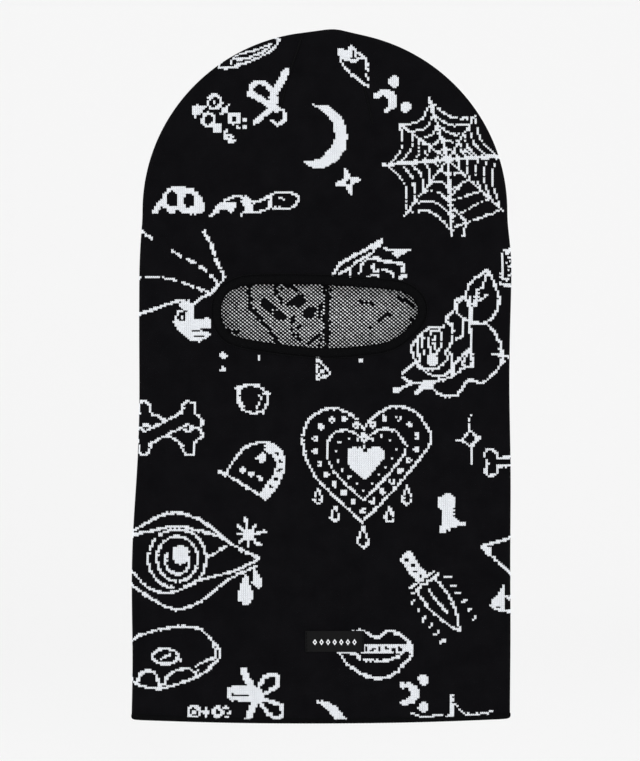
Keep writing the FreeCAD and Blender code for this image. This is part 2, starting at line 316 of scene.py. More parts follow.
class Pen:
    """Draws in a motif's own millimetres onto the charts, turned, sized and moved to its place."""

    LINE = 1.5

    def __init__(self, charts, x, z, turn=0.0, size=1.0):
        self.charts = charts
        self.at = np.array([x, z], float)
        c, s = math.cos(math.radians(turn)), math.sin(math.radians(turn))
        self.turn = np.array([[c, s], [-s, c]]) * size

    def placed(self, points):
        return np.array(points, float) @ self.turn + self.at

    def _ink(self, line, test, margin, white):
        low, high = line.min(0) - margin, line.max(0) + margin
        for c in self.charts:
            near = np.nonzero(((c["art"] > low) & (c["art"] < high)).all(1))[0]
            if len(near):
                hit = test(c["art"][near])
                c["white"][near[hit]] = white

    def line(self, points, width=LINE, white=True, closed=False):
        line = self.placed(points)
        if closed:
            line = np.concatenate([line, line[:1]])
        self._ink(line, lambda p: near_line(p, line, width), width, white)

    def fill(self, points, white=True):
        line = self.placed(points)
        self._ink(line, lambda p: in_polygon(p, line), 1.0, white)

    def curve(self, points, width=LINE, white=True, closed=False):
        self.line(spline(points, closed), width, white, closed)

    def blob(self, points, white=True):
        self.fill(spline(points, True), white)

    def dash(self, points, on=3.0, off=2.2, width=LINE):
        """A broken line."""
        line = spline(points)
        along = np.concatenate([[0], np.cumsum(np.linalg.norm(np.diff(line, axis=0), axis=1))])
        start = 0.0
        while start < along[-1]:
            at = np.linspace(start, min(start + on, along[-1]), 4)
            self.line(np.stack([np.interp(at, along, line[:, k]) for k in (0, 1)], axis=1), width)
            start += on + off


# ---------------------------------------------------------------- motifs, each about its own middle

# Most of these outlines were read from the photograph, and still need redrawing as generic ones.

CRESCENT = [  # outer edge from the upper tip to the lower one, then back along the inner edge
    (-5.2, 19.8), (4.0, 19.0), (9.4, 15.3), (14.2, 9.0), (16.2, 1.5), (14.7, -7.6),
    (8.8, -15.0), (0.9, -18.9), (-5.5, -18.2), (-11.6, -14.8), (-5.5, -14.6), (-0.4, -12.9),
    (5.6, -7.6), (8.6, 0.0), (7.0, 9.0), (2.0, 15.3),
]


def moon(pen):
    pen.fill(CRESCENT)


def moon_and_dots(pen):
    outer = [(-6, 6.5), (0, 7.2), (5.5, 3.8), (6.8, -1.2), (3.5, -6), (-3, -7.2), (-6, -5)]
    pen.fill(outer + [(-1, -3.6), (1.2, 0), (-0.5, 3.4), (-3, 3.0), (-6, 4.2)])
    pen.fill(arc(8.9, 8.6, 3.4, 3.4))
    pen.fill(arc(8.9, -8.6, 3.3, 3.3))


def star(pen, size=8.2, waist=2.0, hole=1.5):
    """A four-pointed star with an open middle."""
    spikes = []
    for n in range(4):
        t = math.radians(90 * n)
        spikes.append((size * math.cos(t), size * math.sin(t)))
        t += math.radians(45)
        spikes.append((1.41 * waist * math.cos(t), 1.41 * waist * math.sin(t)))
    pen.fill(spikes)
    pen.line(spikes, 1.0, closed=True)
    pen.fill(arc(0, 0, hole, hole), white=False)


def tall_star(pen):
    """A ring with four thin spikes, the lower one longest."""
    body = [(0, 4.6), (3, 2.4), (4.8, 0), (2.6, -2.8), (1.2, -5.2), (-1.4, -3.4), (-4.4, -1.2), (-1.8, 2)]
    pen.curve(body, 1.3, closed=True)
    pen.line([(0, 4), (0.6, 13.4)], 1.2)
    pen.line([(1.0, -5), (1.6, -16)], 1.0)
    pen.line([(-4, -0.8), (-8.2, -1.6)], 1.2)
    pen.line([(4, 0), (6.2, 0.4)], 1.2)


def web(pen):
    """A spider's web: two heavy threads cross, thinner spokes lie between them, and the rings sag."""
    tips = [(32.6, 2.5), (17.2, 27.5), (-11.1, 36.7), (-29.9, 22.2)]
    tips += [(-38.4, -3.5), (-26.5, -34.3), (2.6, -45.4), (34.3, -31.7)]
    tips = [np.array(tip) for tip in tips]
    for n, tip in enumerate(tips):
        pen.line([(0, 0), tip], 2.0 if n % 2 == 0 else 1.2)
    shares = (0.22, 0.40, 0.58, 0.76, 0.94)
    for k, share in enumerate(shares):
        for n, (a, b) in enumerate(zip(tips, tips[1:] + tips[:1])):
            wobble = 0.025 * math.sin(5 * n + 3 * k)
            near, far = a * (share + wobble), b * (share - wobble)
            sag = (a + b) / 2 * share * (0.86 if n != 6 else 1.0)
            pen.curve([near, sag, far], 1.0)
    for n in range(0, 8, 3):
        a = tips[n] * 0.5
        b = tips[(n + 1) % 8] * 0.62
        pen.line([a, (a + b) * 0.36], 1.0)
    pen.line([(2.6, -45.4), (9.5, -45.8)], 1.0, white=False)
    pen.curve([(9.5, -46.5), (10.5, -38), (4, -30)], 1.4)


def rose(pen):
    """An open rose leaning to the left, with two big outer leaves and a short stem."""
    pen.curve([(-23, -8), (-18, -0.5), (-11, 4), (-4, 4), (-2, 9), (3, 15), (4, 20), (9, 23)])
    pen.curve([(-23, -8), (-21, -16), (-17, -20.5), (-8, -21), (-2, -16), (0, -11)])
    pen.curve([(-21, -16), (-13, -24), (-3, -25), (4, -17), (13, -8)])
    for x, top, low in ((-19, -2, -16), (-16, 0, -13), (-12, 1, -12), (-9, -1, -10)):
        pen.curve([(x, top), (x - 0.5, (top + low) / 2), (x + 1, low)], 1.3)
    pen.blob([(-14, -14), (-9, -12), (-7, -18), (-12, -19)])
    pen.curve([(-12, 1), (-6, 2), (-5, -6), (-8, -12)], 1.3)
    pen.curve([(-2, 8), (2, 4), (1, -6), (-3, -12)], 1.4)
    pen.line([(1.5, -13), (2, -24)], 1.8)
    pen.curve([(8, 10), (8, 0), (3, -4)], 1.4)
    pen.line([(12.5, 8), (14, -20)], 1.7)
    pen.curve([(14, -20), (8, -19), (10, -14), (13, -8)], 1.4)
    pen.curve([(9, 23), (5, 18), (5, 13), (10, 9), (13, 10), (12, 18), (9, 23)], 1.4)
    leaf_edge = [(10, 24), (13, 31), (19, 36), (24, 38.5), (27, 31), (30.5, 22), (28, 13), (22, 7), (13, 7)]
    pen.curve(leaf_edge)
    pen.line([(23, 37), (20, 28)], 1.2)
    pen.line([(17, 26), (15.5, 17)], 2.4)
    pen.line([(18, 20), (23, 24)], 1.2)
    pen.line([(12.5, 22), (13.5, 8)], 1.6)
    outer = [(22, 7), (28, 0), (32, -9), (31, -19), (25, -26), (19, -29.5)]
    outer += [(12, -28), (9, -31), (4, -37), (-5, -37), (-13, -31)]
    pen.curve(outer)
    pen.line([(26, -12), (37, -14)], 1.4)
    pen.line([(31, -9), (33, -17)], 2.0)
    pen.curve([(-21, -17), (-29, -25), (-22, -29.5), (-10, -29), (1, -26), (9, -20)])
    pen.line([(-33, -35), (-24, -30)], 1.6)
    pen.line([(-20.5, -36), (-14, -29.5)], 2.6)
    pen.fill(arc(-32.5, -34, 1.9, 1.9))
    pen.blob([(-18, -30), (-12, -28), (-10, -32), (-15, -34)])


def skull(pen):
    """The upper half of a plain skull, cut off straight below the eyes."""
    pen.blob([(-16, -9.5), (-12, -1), (-6, 6.5), (2, 7.5), (10, 5.5), (15, -1), (15.5, -9), (0, -9.5)])
    pen.blob([(-6.5, 4), (-2.5, 4.5), (-0.5, -1), (-3, -5), (-7, -3)], white=False)
    pen.blob([(5, 3), (9.5, 1.5), (10, -3.5), (6, -5.5), (3, -3)], white=False)
    pen.blob([(-13, -12), (-11, -5), (-7.5, -7), (-6, -12)], white=False)
    pen.fill([(-2.5, -12), (-1.5, -7), (3, -8.5), (4, -12)], white=False)
    pen.line([(2, -8.8), (15, -9.2)], 1.4)


def long_bone(pen):
    """A bone lying down, cut off at its lower left."""
    upper = [(-27, -9), (-22, -2), (-14, 3), (-6, 3), (0, 0.5), (8, 4)]
    upper += [(14, 7), (24, 6.5), (27, 3), (22, -2.5), (10, -2.5)]
    pen.curve(upper)
    pen.curve([(10, -2.5), (2, -5.5), (-6, -5.5), (-9, -8)])
    pen.blob([(-27, -9), (-20, -1), (-12, 0), (-14, -6), (-20, -5)])
    pen.blob([(-8, 2), (-3, 2), (-1, -5), (-6, -5)])
    pen.line([(10, 3.5), (9, -1.5)], 2.2)
    pen.line([(15, 4), (18, 3)], 1.2)


def spider(pen):
    """A spider with a hooked body and long broken legs."""
    body = [(-7.4, 11.3), (1.2, 10.6), (0.8, 0.5), (10.5, 2), (11.6, -3.5), (4, -6), (12.4, -8.1)]
    pen.fill(body + [(3.9, -13.2), (-1.2, -12), (-8.9, -5.8), (-11.7, -0.3)])
    pen.fill(arc(-6.6, 2.8, 2.5, 3.2), white=False)
    pen.line([(-8.5, 8), (-4.5, 6)], white=False)
    pen.fill(arc(-6.2, 2.4, 0.9, 0.9))
    pen.line([(1, -6.5), (8, -5)], 1.7, white=False)
    pen.line([(2, -9.3), (6, -9.6)], 1.2, white=False)
    pen.curve([(1.5, 11), (6, 14.5), (11.5, 17.2), (15, 22)])
    pen.dash([(11.5, 17.2), (19.1, 26.1), (15.2, 34.7), (11.3, 46), (6.6, 54.9)], 6.5, 2.6, 1.9)
    pen.dash([(15.2, 23), (9.7, 29.2), (0.4, 35.5), (-12.9, 42.5)], 6.0, 3.2, 1.6)
    pen.dash([(11, 17), (-0.4, 21.1), (-13.6, 25.3), (-30.7, 26.5), (-44, 24)], 8, 3.0, 1.5)
    pen.dash([(-2, 11.3), (-8.9, 12.1), (-22.6, 7.4), (-34, 3.9), (-44, -2)], 9, 1.6, 1.6)
    pen.dash([(-24.9, 49.9), (-33, 55.6), (-42, 60)], 5, 2.0, 1.7)


def wing(pen):
    """A swept wing with long feathers."""
    pen.curve([(-22, -10), (-16, -2), (-4, 4), (6, 10)], 1.9)
    pen.fill([(0, 7), (7.5, 12), (8, 9), (3, 4)])
    pen.curve([(6, 7), (14, 5), (22, 5)], 1.3)
    pen.fill([(12, 3), (18, 5.5), (26, 5.5), (17, 0.5)])
    pen.curve([(-18, -10), (-8, -3), (3, 4)], 1.2)
    pen.curve([(-12, -11), (-10, -4), (0, 2)], 1.4)
    pen.curve([(-6, -9), (-3, -2), (6, 1)], 1.2)
    pen.curve([(5, -1), (14, -2.5), (20, -4), (20, -8)], 1.8)
    pen.line([(2, -4), (2.5, -8)], 1.2)
    pen.curve([(2, -8), (8, -7.5), (13, -8), (14, -12)], 1.3)
    pen.line([(18, -12), (22, -10.5)], 2.0)
    pen.curve([(-1, -12), (2, -10), (5, -11)], 1.2)


def tile(pen):
    """A speckled upright tile."""
    pen.line([(-7, -10), (-6, 10), (10, 13), (10, -13)], 1.6, closed=True)
    for n in range(7):
        z = -7.5 + 2.6 * n
        pen.line([(-4 + (n % 2) * 2, z), (-1.5 + (n % 2) * 2, z + 1)], 1.3)
        pen.line([(3 - (n % 2), z - 1), (7 - (n % 2), z + 1)], 1.3)


def ring(pen):
    """A leaning ring, heavier on its left, with a small curl inside."""
    pen.curve(arc(0, 0, 9.6, 8.4, 20, 350, 24) @ np.array([[0.906, -0.423], [0.423, 0.906]]), 1.5)
    pen.curve([(-8.5, 4), (-8.8, 0), (-6, -4.5)], 2.4)
    pen.line([(7, 3), (11, 3)], 1.4)
    pen.curve([(8.6, 4), (9, -2), (6, -8)], 1.6)
    pen.line([(4.4, 3), (5, 0)], 1.3)
    pen.line([(4, -2.5), (2.6, -5)], 1.3)
    pen.line([(-12, 6), (-8, 7)], 1.3)


def bone(pen, half=30.0, thick=2.8):
    """A whole bone along the motif's X."""
    for side in (-1, 1):
        for up in (-1, 1):
            knob = [(half, thick), (half + 2, 7.5), (half + 6, 9), (half + 9.5, 6), (half + 7, 0)]
            pen.curve([(side * x, up * z) for x, z in knob])
        pen.line([(-half, side * thick), (half, side * thick)])


def crossed_bones(pen):
    """Two stout bones, one over the other."""
    for angle in (-27, 27):
        c, s = math.cos(math.radians(angle)), math.sin(math.radians(angle))
        turn = np.array([[c, s], [-s, c]])
        shaft = np.array([(-14, 4.2), (14, 4.2), (14, -4.2), (-14, -4.2)], float) @ turn
        pen.fill(shaft, white=False)
        bone(Pen(pen.charts, pen.at[0], pen.at[1], angle, 0.95), 13.5, 4.2)


def badge(pen):
    """A pointed badge with a beaded border, a diamond and three dots."""
    rim = [(8, 14.5), (14, 9), (16, 1), (12, -9), (5, -19)]
    pen.curve([(-20, -4), (-15, 4), (-8, 12), (0, 15)] + rim, 1.5)
    pen.line([rim[-1], (-20, -4)])
    pen.line([(-20, -4), (-24, -2.5)], 2.0)
    border = np.array(rim) * 0.84
    pen.curve(border, 5.4)
    for x, z in resampled(spline(border), 7, closed=False)[1:-1]:
        pen.fill(arc(x, z, 1.3, 1.2), white=False)
    pen.fill([(2, 9.5), (5.2, 5.8), (2, 2.1), (-1.2, 5.8)])
    for n in range(3):
        pen.fill(arc(-9.5 + 5.3 * n, -1.5 - 2.3 * n, 1.7, 1.7))


def drop(pen, x, z, wide=5.0, tall=8.6, full=False):
    """A drop hanging from its tip."""
    w, h = wide / 2, tall / 2
    right = [(w * 0.7, 0.1 * h), (w, -0.5 * h)]
    left = [(-w, -0.5 * h), (-w * 0.7, 0.1 * h)]
    shape = np.array([(0, h)] + right + [(0, -h)] + left)
    if full:
        pen.blob(shape + (x, z))
    else:
        pen.curve(shape + (x, z), 1.4, closed=True)


HEART_RIGHT = [(-1, 20.4), (5.5, 28.5), (17.5, 34), (30, 31), (38, 20.5), (39.8, 15), (36.5, 7)]
HEART_RIGHT += [(17.5, -16), (-2, -36)]
HEART_LEFT = [(-1, 20.4), (-9, 29), (-20.5, 32.8), (-33, 27.5), (-38, 15), (-35, 0), (-26, -13.5), (-2, -36)]


def heart(pen):
    """A plain heart with a lace border inside it and drops below."""
    for half in (HEART_RIGHT, HEART_LEFT):
        pen.curve(half)
        inner = spline(np.array(half) * 0.62 + (0, -0.5))
        pen.line(inner, 1.3)
        beads = resampled(spline(np.array(half) * 0.81), 13, closed=False)
        for n, (x, z) in enumerate(beads):
            pen.fill(arc(x, z, 1.9, 1.9, steps=12))
            if n % 2:
                pen.fill(arc(x, z, 0.7, 0.7, steps=8), white=False)
        pen.fill(spline(np.array(half) * 0.30))
        lace = resampled(spline(np.array(half) * 0.47), 10, closed=False)
        for x, z in lace:
            pen.fill(arc(x, z, 0.9, 0.9, steps=8))
    drop(pen, -28.7, -20.2)
    drop(pen, -18.5, -31.0)
    drop(pen, -1.5, -45.1, 6.0, 13.0)
    drop(pen, 14.7, -31.8)
    drop(pen, 25.3, -19.8, 5.0, 11.0)


def keyhole(pen):
    pen.fill(arc(-2.6, 6, 5.6, 5.4))
    pen.blob([(-5, 3), (1, 3), (2.5, -3), (9, -7), (1, -9.5), (-6.5, -12), (-5.5, -4)])


def triangle(pen):
    pen.line([(-14, 7), (12, 14), (10, -14)], 1.6, closed=True)
    pen.fill([(-14, 7.5), (-6, 6), (-9, 0)])


def eye(pen):
    """A big open eye, its tail to the right, with rings in the iris."""
    tail = (39.2, 1.9)
    upper_lid = [(-66, 2), (-50, 12), (-36.5, 19.4), (-19, 28.4), (-3.6, 28), (11.9, 19.4), (22.5, 10.4)]
    pen.curve(upper_lid + [tail], 1.6)
    pen.curve([(-52, 13), (-36, 16.5), (-24, 19), (-10.4, 21.2), (3, 18.5), (12, 16), (21, 12)])
    lower_lid = [(24.7, -5.4), (3.3, -11.4), (-13, -18.7), (-27, -17), (-37, -8), (-50, -2), (-66, 2)]
    pen.curve([tail] + lower_lid, 1.5)
    fold = [(37, -3), (20.4, -11), (3.3, -24.2), (-12.1, -29.3), (-26.7, -22.5), (-37, -15.7), (-50, -10)]
    pen.curve(fold)
    pen.line([(7, 2), (19, 9)])
    pen.curve(arc(-10.8, 1.5, 17.6, 18, 128, -62, 22), 1.5)
    pen.curve(arc(-10.8, 1.5, 17.6, 18, 140, 262, 14), 1.5)
    pen.curve(arc(-10.8, 1.5, 12.4, 13.6), 1.5)
    pen.curve(arc(-10.6, 0.6, 7.4, 8.4, 150, 372, 20), 1.5)
    pen.fill(arc(-8.9, 4, 5.2, 6.2))


def burst(pen):
    for a, r in ((8, 11), (52, 8), (98, 10.5), (140, 9), (178, 6), (225, 8), (268, 8), (318, 10)):
        t = math.radians(a)
        pen.line([(0, 0), (r * math.cos(t), r * math.sin(t))], 1.8)
    pen.fill(arc(1, -1, 2.6, 2.6))


def dagger(pen):
    """A dagger, its handle up, with short dashes around the blade."""
    pen.fill([(-4.5, 31), (4.5, 31), (4.4, 9), (-4.4, 9)])
    for n in range(4):
        x = 0.9 if n % 2 else -0.9
        pen.fill(arc(x, 26.5 - 4.8 * n, 1.3, 1.3), white=False)
    pen.line([(-10, 9.8), (10, 9.8)], 1.4)
    pen.line([(-10.5, 6.4), (10.5, 6.4)], 1.4)
    pen.curve([(-7.5, 6), (-8, -8), (-5, -22), (0, -34)], 1.4)
    pen.curve([(7.5, 6), (8.5, -8), (5.5, -22), (0, -34)], 1.4)
    pen.line([(-0.5, 1), (-0.5, -8), (0.3, -18)], 1.4)
    for side in (-1, 1):
        for n in range(6):
            z = 2 - 7 * n
            x = side * (13.5 - 0.25 * n)
            pen.line([(x, z), (x + side * 3.0, z - 2.2 + n * 0.6)], 1.3)


def hook(pen):
    pen.curve([(12, 6), (2, 2), (-4, 4), (-9, -2), (-4, -5), (12, -8)], 1.8)
    pen.fill([(-9, -2), (-2, 11), (-1, 2), (-1, -5)])


def ring_cake(pen):
    """A slanting oval with a small ring in it and round cells along its lower edge."""
    outline = [(-38, 0), (-27, 10.5), (-19.4, 14.3), (-4.1, 18.1), (12.7, 18.1), (21.8, 10.5)]
    outline += [(27.2, 2.9), (21.8, -4.8), (12.7, -11.6), (-7.1, -18.5), (-19.4, -17.7), (-28, -13.9)]
    pen.curve(outline, 1.5, closed=True)
    pen.curve([(22, 9), (24.6, 3), (23, -1)], 1.3)
    pen.curve(arc(-6.4, 0.6, 7.6, 4.8), 1.7)
    pen.line([(-9.5, -1.2), (-3.5, 2.2)], 1.3)
    pen.line([(2, -0.5), (3.5, -2)], 1.2)
    pen.curve([(-23.9, -16.2), (-20.9, -9.3), (-13.3, -9.3), (-10.2, -17)], 1.8)
    pen.curve([(-7.1, -16.4), (-4.1, -10.1), (6.6, -6.6), (12.7, -10.1)])
    pen.curve([(12.7, -10), (13, -5), (17.2, -2.5), (25, 1.3)], 1.4)


def lips(pen):
    """Parted lips with a row of teeth."""
    left, right = (-21.4, 0.9), (23.1, 4.7)
    pen.curve([left, (-19, 6), (-13, 12.5), (-6.2, 13.8), (2.2, 9.7), (9.9, 13.8), (18.3, 9.7), right], 1.6)
    pen.curve([right, (23.4, -0.3), (16.7, -8.3), (10.6, -13.6), (-0.8, -14.7), (-13.8, -8), left], 1.6)
    pen.fill([(-8.5, 5.4), (22.5, 5.8), (22.5, 0.8), (-7.5, 0.4)])
    for n in range(6):
        x = -4.5 + 4.1 * n
        pen.fill([(x - 1.2, 3.9), (x + 1.2, 3.9), (x + 1.2, 1.5), (x - 1.2, 1.5)], white=False)
    pen.curve([left, (-10.7, 0.1), (-7.7, -2.9), (4.5, -4.5), (13.7, -2.2), (18, 0.5)])


def bow(pen):
    """A tied bow: one filled loop with a slot, two open loops and two tails."""
    pen.line([(-12.5, 0.5), (0, 0)], 9.0)
    pen.fill(arc(-13, 0.5, 3.4, 4.6))
    pen.line([(-13.5, -0.6), (-4.5, -0.9)], white=False)
    pen.line([(-6.9, 14.5), (-3, 6), (0.5, 0)], 4.2)
    pen.line([(0.5, -3), (-4.5, -17)], 4.2)
    pen.curve([(1, 1), (6, 10), (13.7, 11.5), (13.5, 5), (5, -0.5)], 2.3)
    pen.curve([(2, -2), (10, -4.5), (16.5, -7.5), (15.5, -14.5), (8.5, -12), (3, -5)], 2.3)
    pen.fill(arc(1, -0.5, 3.8, 4.4))


def small_bow(pen):
    """A leaning bow with one filled loop, a long arm and a curled tail."""
    pen.line([(3.5, -1), (12, 14.5)], 4.4)
    pen.line([(-9.5, 2), (6.5, -8)], 4.0)
    pen.curve([(-10, 1), (-8, 7), (-2, 8), (4, 2), (6, -4)], 3.0)
    pen.line([(-6.2, 4.2), (2.5, -0.2)], white=False)
    pen.line([(4, -7), (-6.5, -16)], 3.0)
    pen.curve([(6, -8), (10.5, -9), (11, -14.5), (7, -17.5), (3.5, -15)], 1.9)


def leaf(pen):
    """A pointed leaf with a filled top."""
    pen.curve([(-9, 8), (-6, -0.5), (-0.5, -6.6), (9, -13.5)])
    pen.blob([(-9.5, 9.5), (-4, 9), (0, 11.5), (-1, 5), (-6, 3)])
    pen.curve([(-1, 10.5), (4, 6.2), (8, 2.6), (8.8, -4)], 1.6)
    pen.line([(-5, 3), (1, 2), (5, 4)])
    pen.line([(1, 9), (2, 5)], 1.4)
    pen.line([(8, -6), (9, -10)], 1.0)


def pod(pen):
    """A long pod cut by the crown's edge, with cells inside."""
    pen.curve([(-19, -9.5), (-11.5, -10), (-3.8, -7.8), (3.8, -4.7), (12, -0.3), (15.5, 3), (18.5, 7)])
    pen.curve([(-11.5, -7.8), (-10, -4), (-4, -5), (3, -2.5), (9.8, 0.6), (13, 4.4)], 1.4)
    pen.curve([(-8, -2), (-0.7, -0.2), (6, 1.5), (10, 3.4)], 1.3)
    pen.curve([(-19, -9.5), (-16, 0), (-6, 8), (8, 13), (18.5, 7)])


def marks(pen):
    """Two rows of small plain signs: rings, a star, diamonds, dots, an arrowhead and a wave."""
    pen.curve(arc(-9, 6.5, 3.8, 4.2), 1.8)
    pen.fill(arc(-9, 6.5, 1.1, 1.1))
    pen.fill([(-1, 11), (0.2, 7.6), (3.4, 6.5), (0.2, 5.4), (-1, 2), (-2.2, 5.4), (-5, 6.5), (-2.2, 7.6)])
    pen.line([(7, 10.5), (10.4, 6.5), (7, 2.5), (3.8, 6.5)], 1.8, closed=True)
    for x, z in ((12.6, 9.6), (15.2, 6.5), (12.6, 3.4)):
        pen.fill(arc(x, z, 1.4, 1.4))
    pen.fill([(-19, -4), (-10.5, 1.5), (-12, -9.5)])
    pen.curve(arc(-5, -4.5, 3.6, 4.0), 2.0)
    pen.fill([(3, -0.6), (6.4, -4.6), (3, -8.6), (-0.4, -4.6)])
    pen.curve([(8, -2.5), (10, -6.5), (12.2, -2.5), (14.4, -6.5), (16.4, -3)], 1.8)


def web_top(pen):
    """The top of a web, cut by the neck edge."""
    pen.line([(0, 0), (0, -13)], 2.0)
    pen.curve([(2, -4.5), (8, -10.4), (16, -10.8), (25, -9)], 1.2)
    pen.curve([(-2, -12), (-9, -11.4), (-16, -12.6)], 1.2)
    pen.curve([(-24, -10), (-20, -11.8), (-16, -12.6)], 1.2)
    pen.line([(20, -10), (24, -13)], 1.2)


def ticks(pen):
    """The small flecks just below the slot, and a plain pennant."""
    pen.fill([(-59.3, 4.2), (-56.6, 1.4), (-59.3, -1.4), (-62, 1.4)])
    pen.fill(arc(-59.6, -6.8, 1.7, 1.7))
    pen.line([(-38, -1.5), (-37.8, 0.8)], 1.0)
    pen.fill(arc(24, -1.5, 1.2, 1.2))
    pen.line([(-2, -0.5), (-2, -13.5), (6, -9.5)], 1.4, closed=True)
    pen.fill(arc(0.6, -8.4, 1.3, 1.3))


def draw_art(charts):
    """Places the motifs: x from the front's middle, z from the origin, and x beyond +-116 is on the back."""

    def at(x, z, turn=0.0, size=1.0):
        return Pen(charts, x, z, turn, size)

    # front, from the crown down
    pod(at(-43.4, -12))
    small_bow(at(-33.2, -39.5))
    marks(at(-62, -53.5, -40, 0.98))
    moon(at(0, -64.5))
    star(at(16.5, -91.7, 12))
    leaf(at(19.5, -20))
    moon_and_dots(at(39.8, -42, 25))
    web(at(77, -78))
    skull(at(-86.5, -101.7, 0, 0.96))
    long_bone(at(-40.1, -104.5, -2, 0.97))
    spider(at(-78, -176))
    wing(at(29.4, -138))
    tile(at(116.5, -143.5))
    rose(at(78, -184))
    ticks(at(0, -198.4))
    ring(at(-41.5, -223.4))
    crossed_bones(at(-94, -241))
    badge(at(-38, -265))
    heart(at(27, -262))
    tall_star(at(90.2, -247.2))
    bone(at(134, -260, 4, 0.9), 29)
    keyhole(at(79, -292.4))
    triangle(at(111, -320))
    eye(at(-76.5, -322))
    burst(at(-44.2, -305.6, 0, 0.95))
    drop(at(-45.8, -339.1), 0, 0, 9.4, 19.6, full=True)
    drop(at(-39, -331.9, 14), 0, 0, 6.0, 13.0, full=True)
    dagger(at(66.6, -340, 36, 0.89))
    hook(at(113.1, -346.4))
    ring_cake(at(-88, -380.4))
    lips(at(31.8, -377.9))
    bow(at(-40.3, -402.5))
    marks(at(-69.1, -419.4, 0, 0.9))
    moon(at(1, -426.3))
    moon_and_dots(at(53.5, -402.2, 0, 0.98))
    web_top(at(79.5, -404.1))

    # back: to the right of the right fold, then to the left of the left fold
    heart(at(188, -165, 0, 0.9))
    moon(at(162, -72, 10))
    star(at(186, -50))
    skull(at(198, -98))
    burst(at(218, -66, 10, 0.9))
    dagger(at(158, -234, -30, 0.9))
    rose(at(196, -264, 0, 0.92))
    tall_star(at(144, -190))
    ring(at(146, -112))
    eye(at(192, -350, 0, 0.85))
    drop(at(166, -312), 0, 0, 7, 14, full=True)
    bow(at(148, -394, 20))
    moon_and_dots(at(206, -398))
    keyhole(at(150, -286))
    ring_cake(at(-188, -164, 12, 0.9))
    web(at(-176, -76, 20, 0.85))
    lips(at(-152, -262))
    spider(at(-196, -246, 0, 0.9))
    bow(at(-136, -134, -30, 0.9))
    star(at(-138, -178))
    badge(at(-146, -216))
    long_bone(at(-206, -108))
    dagger(at(-190, -318, 24, 0.95))
    triangle(at(-150, -350))
    burst(at(-218, -276))
    moon(at(-166, -396, 180, 0.9))
    moon_and_dots(at(-212, -388))
    keyhole(at(-214, -66))


# ---------------------------------------------------------------- meshes


def new_piece(name, points, faces, material, smooth=True, face_slots=None):
    """A mesh piece from points in millimetres. material may be a list, with face_slots naming each face's."""
    mesh = bpy.data.meshes.new(name)
    mesh.from_pydata((np.asarray(points) * MM).tolist(), [], [list(f) for f in faces])
    mesh.validate()
    for m in material if isinstance(material, list) else [material]:
        mesh.materials.append(m)
    if face_slots is not None:
        mesh.polygons.foreach_set("material_index", face_slots)
    mesh.polygons.foreach_set("use_smooth", [smooth] * len(mesh.polygons))
    mesh.update()
    piece = bpy.data.objects.new(name, mesh)
    bpy.context.scene.collection.objects.link(piece)
    return piece


def open_edges(faces):
    """Edges that only one face has, as that face runs along them."""
    edges = {edge: True for f in faces for edge in zip(f, f[1:] + f[:1])}
    return [(a, b) for a, b in edges if (b, a) not in edges]


def stamped(template, faces, origins, axes):
    """Copies of a small mesh: template (k, 3) is along axes (n, 3, 3), standing at origins (n, 3)."""
    points = origins[:, None, :] + np.einsum("kc,ncd->nkd", template, axes)
    count = len(template)
    every = [tuple(i + n * count for i in f) for n in range(len(origins)) for f in faces]
    return points.reshape(-1, 3), every


# ---------------------------------------------------------------- materials


def new_material(name, color, roughness, specular):
    m = bpy.data.materials.new(name)
    m.use_nodes = True
    shader = m.node_tree.nodes["Principled BSDF"]
    shader.inputs["Base Color"].default_value = (*color, 1)
    shader.inputs["Roughness"].default_value = roughness
    shader.inputs["Specular IOR Level"].default_value = specular
    return m, m.node_tree, shader


class Sums:
    """Writes sums as shader nodes."""

    def __init__(self, tree):
        self.tree = tree

    def math(self, op, a, b=0.0):
        node = self.tree.nodes.new("ShaderNodeMath")
        node.operation = op
        for n, value in enumerate((a, b)):
            if isinstance(value, (int, float)):
                node.inputs[n].default_value = value
            else:
                self.tree.links.new(value, node.inputs[n])
        return node.outputs[0]

    def attribute(self, name):
        node = self.tree.nodes.new("ShaderNodeAttribute")
        node.attribute_name = name
        split = self.tree.nodes.new("ShaderNodeSeparateXYZ")
        self.tree.links.new(node.outputs["Vector"], split.inputs[0])
        return split.outputs[0], split.outputs[1], split.outputs[2]

    def noise(self, scale, detail=2.0):
        """Noise in the object's own coordinates, scale in waves per metre."""
        place = self.tree.nodes.new("ShaderNodeTexCoord")
        node = self.tree.nodes.new("ShaderNodeTexNoise")
        node.inputs["Scale"].default_value = scale
        node.inputs["Detail"].default_value = detail
        self.tree.links.new(place.outputs["Object"], node.inputs["Vector"])
        return node.outputs["Fac"]

    def ramp(self, value, low, high):
        """A colour between low and high."""
        node = self.tree.nodes.new("ShaderNodeMix")
        node.data_type = "RGBA"
        node.inputs["A"].default_value = (*low, 1)
        node.inputs["B"].default_value = (*high, 1)
        self.tree.links.new(value, node.inputs["Factor"])
        return node.outputs["Result"]

    def bump(self, height, shader, distance):
        node = self.tree.nodes.new("ShaderNodeBump")
        node.inputs["Distance"].default_value = distance
        self.tree.links.new(height, node.inputs["Height"])
        self.tree.links.new(node.outputs["Normal"], shader.inputs["Normal"])


BLACK = (0.0034, 0.0034, 0.0040)
WHITE = (0.83, 0.86, 0.90)


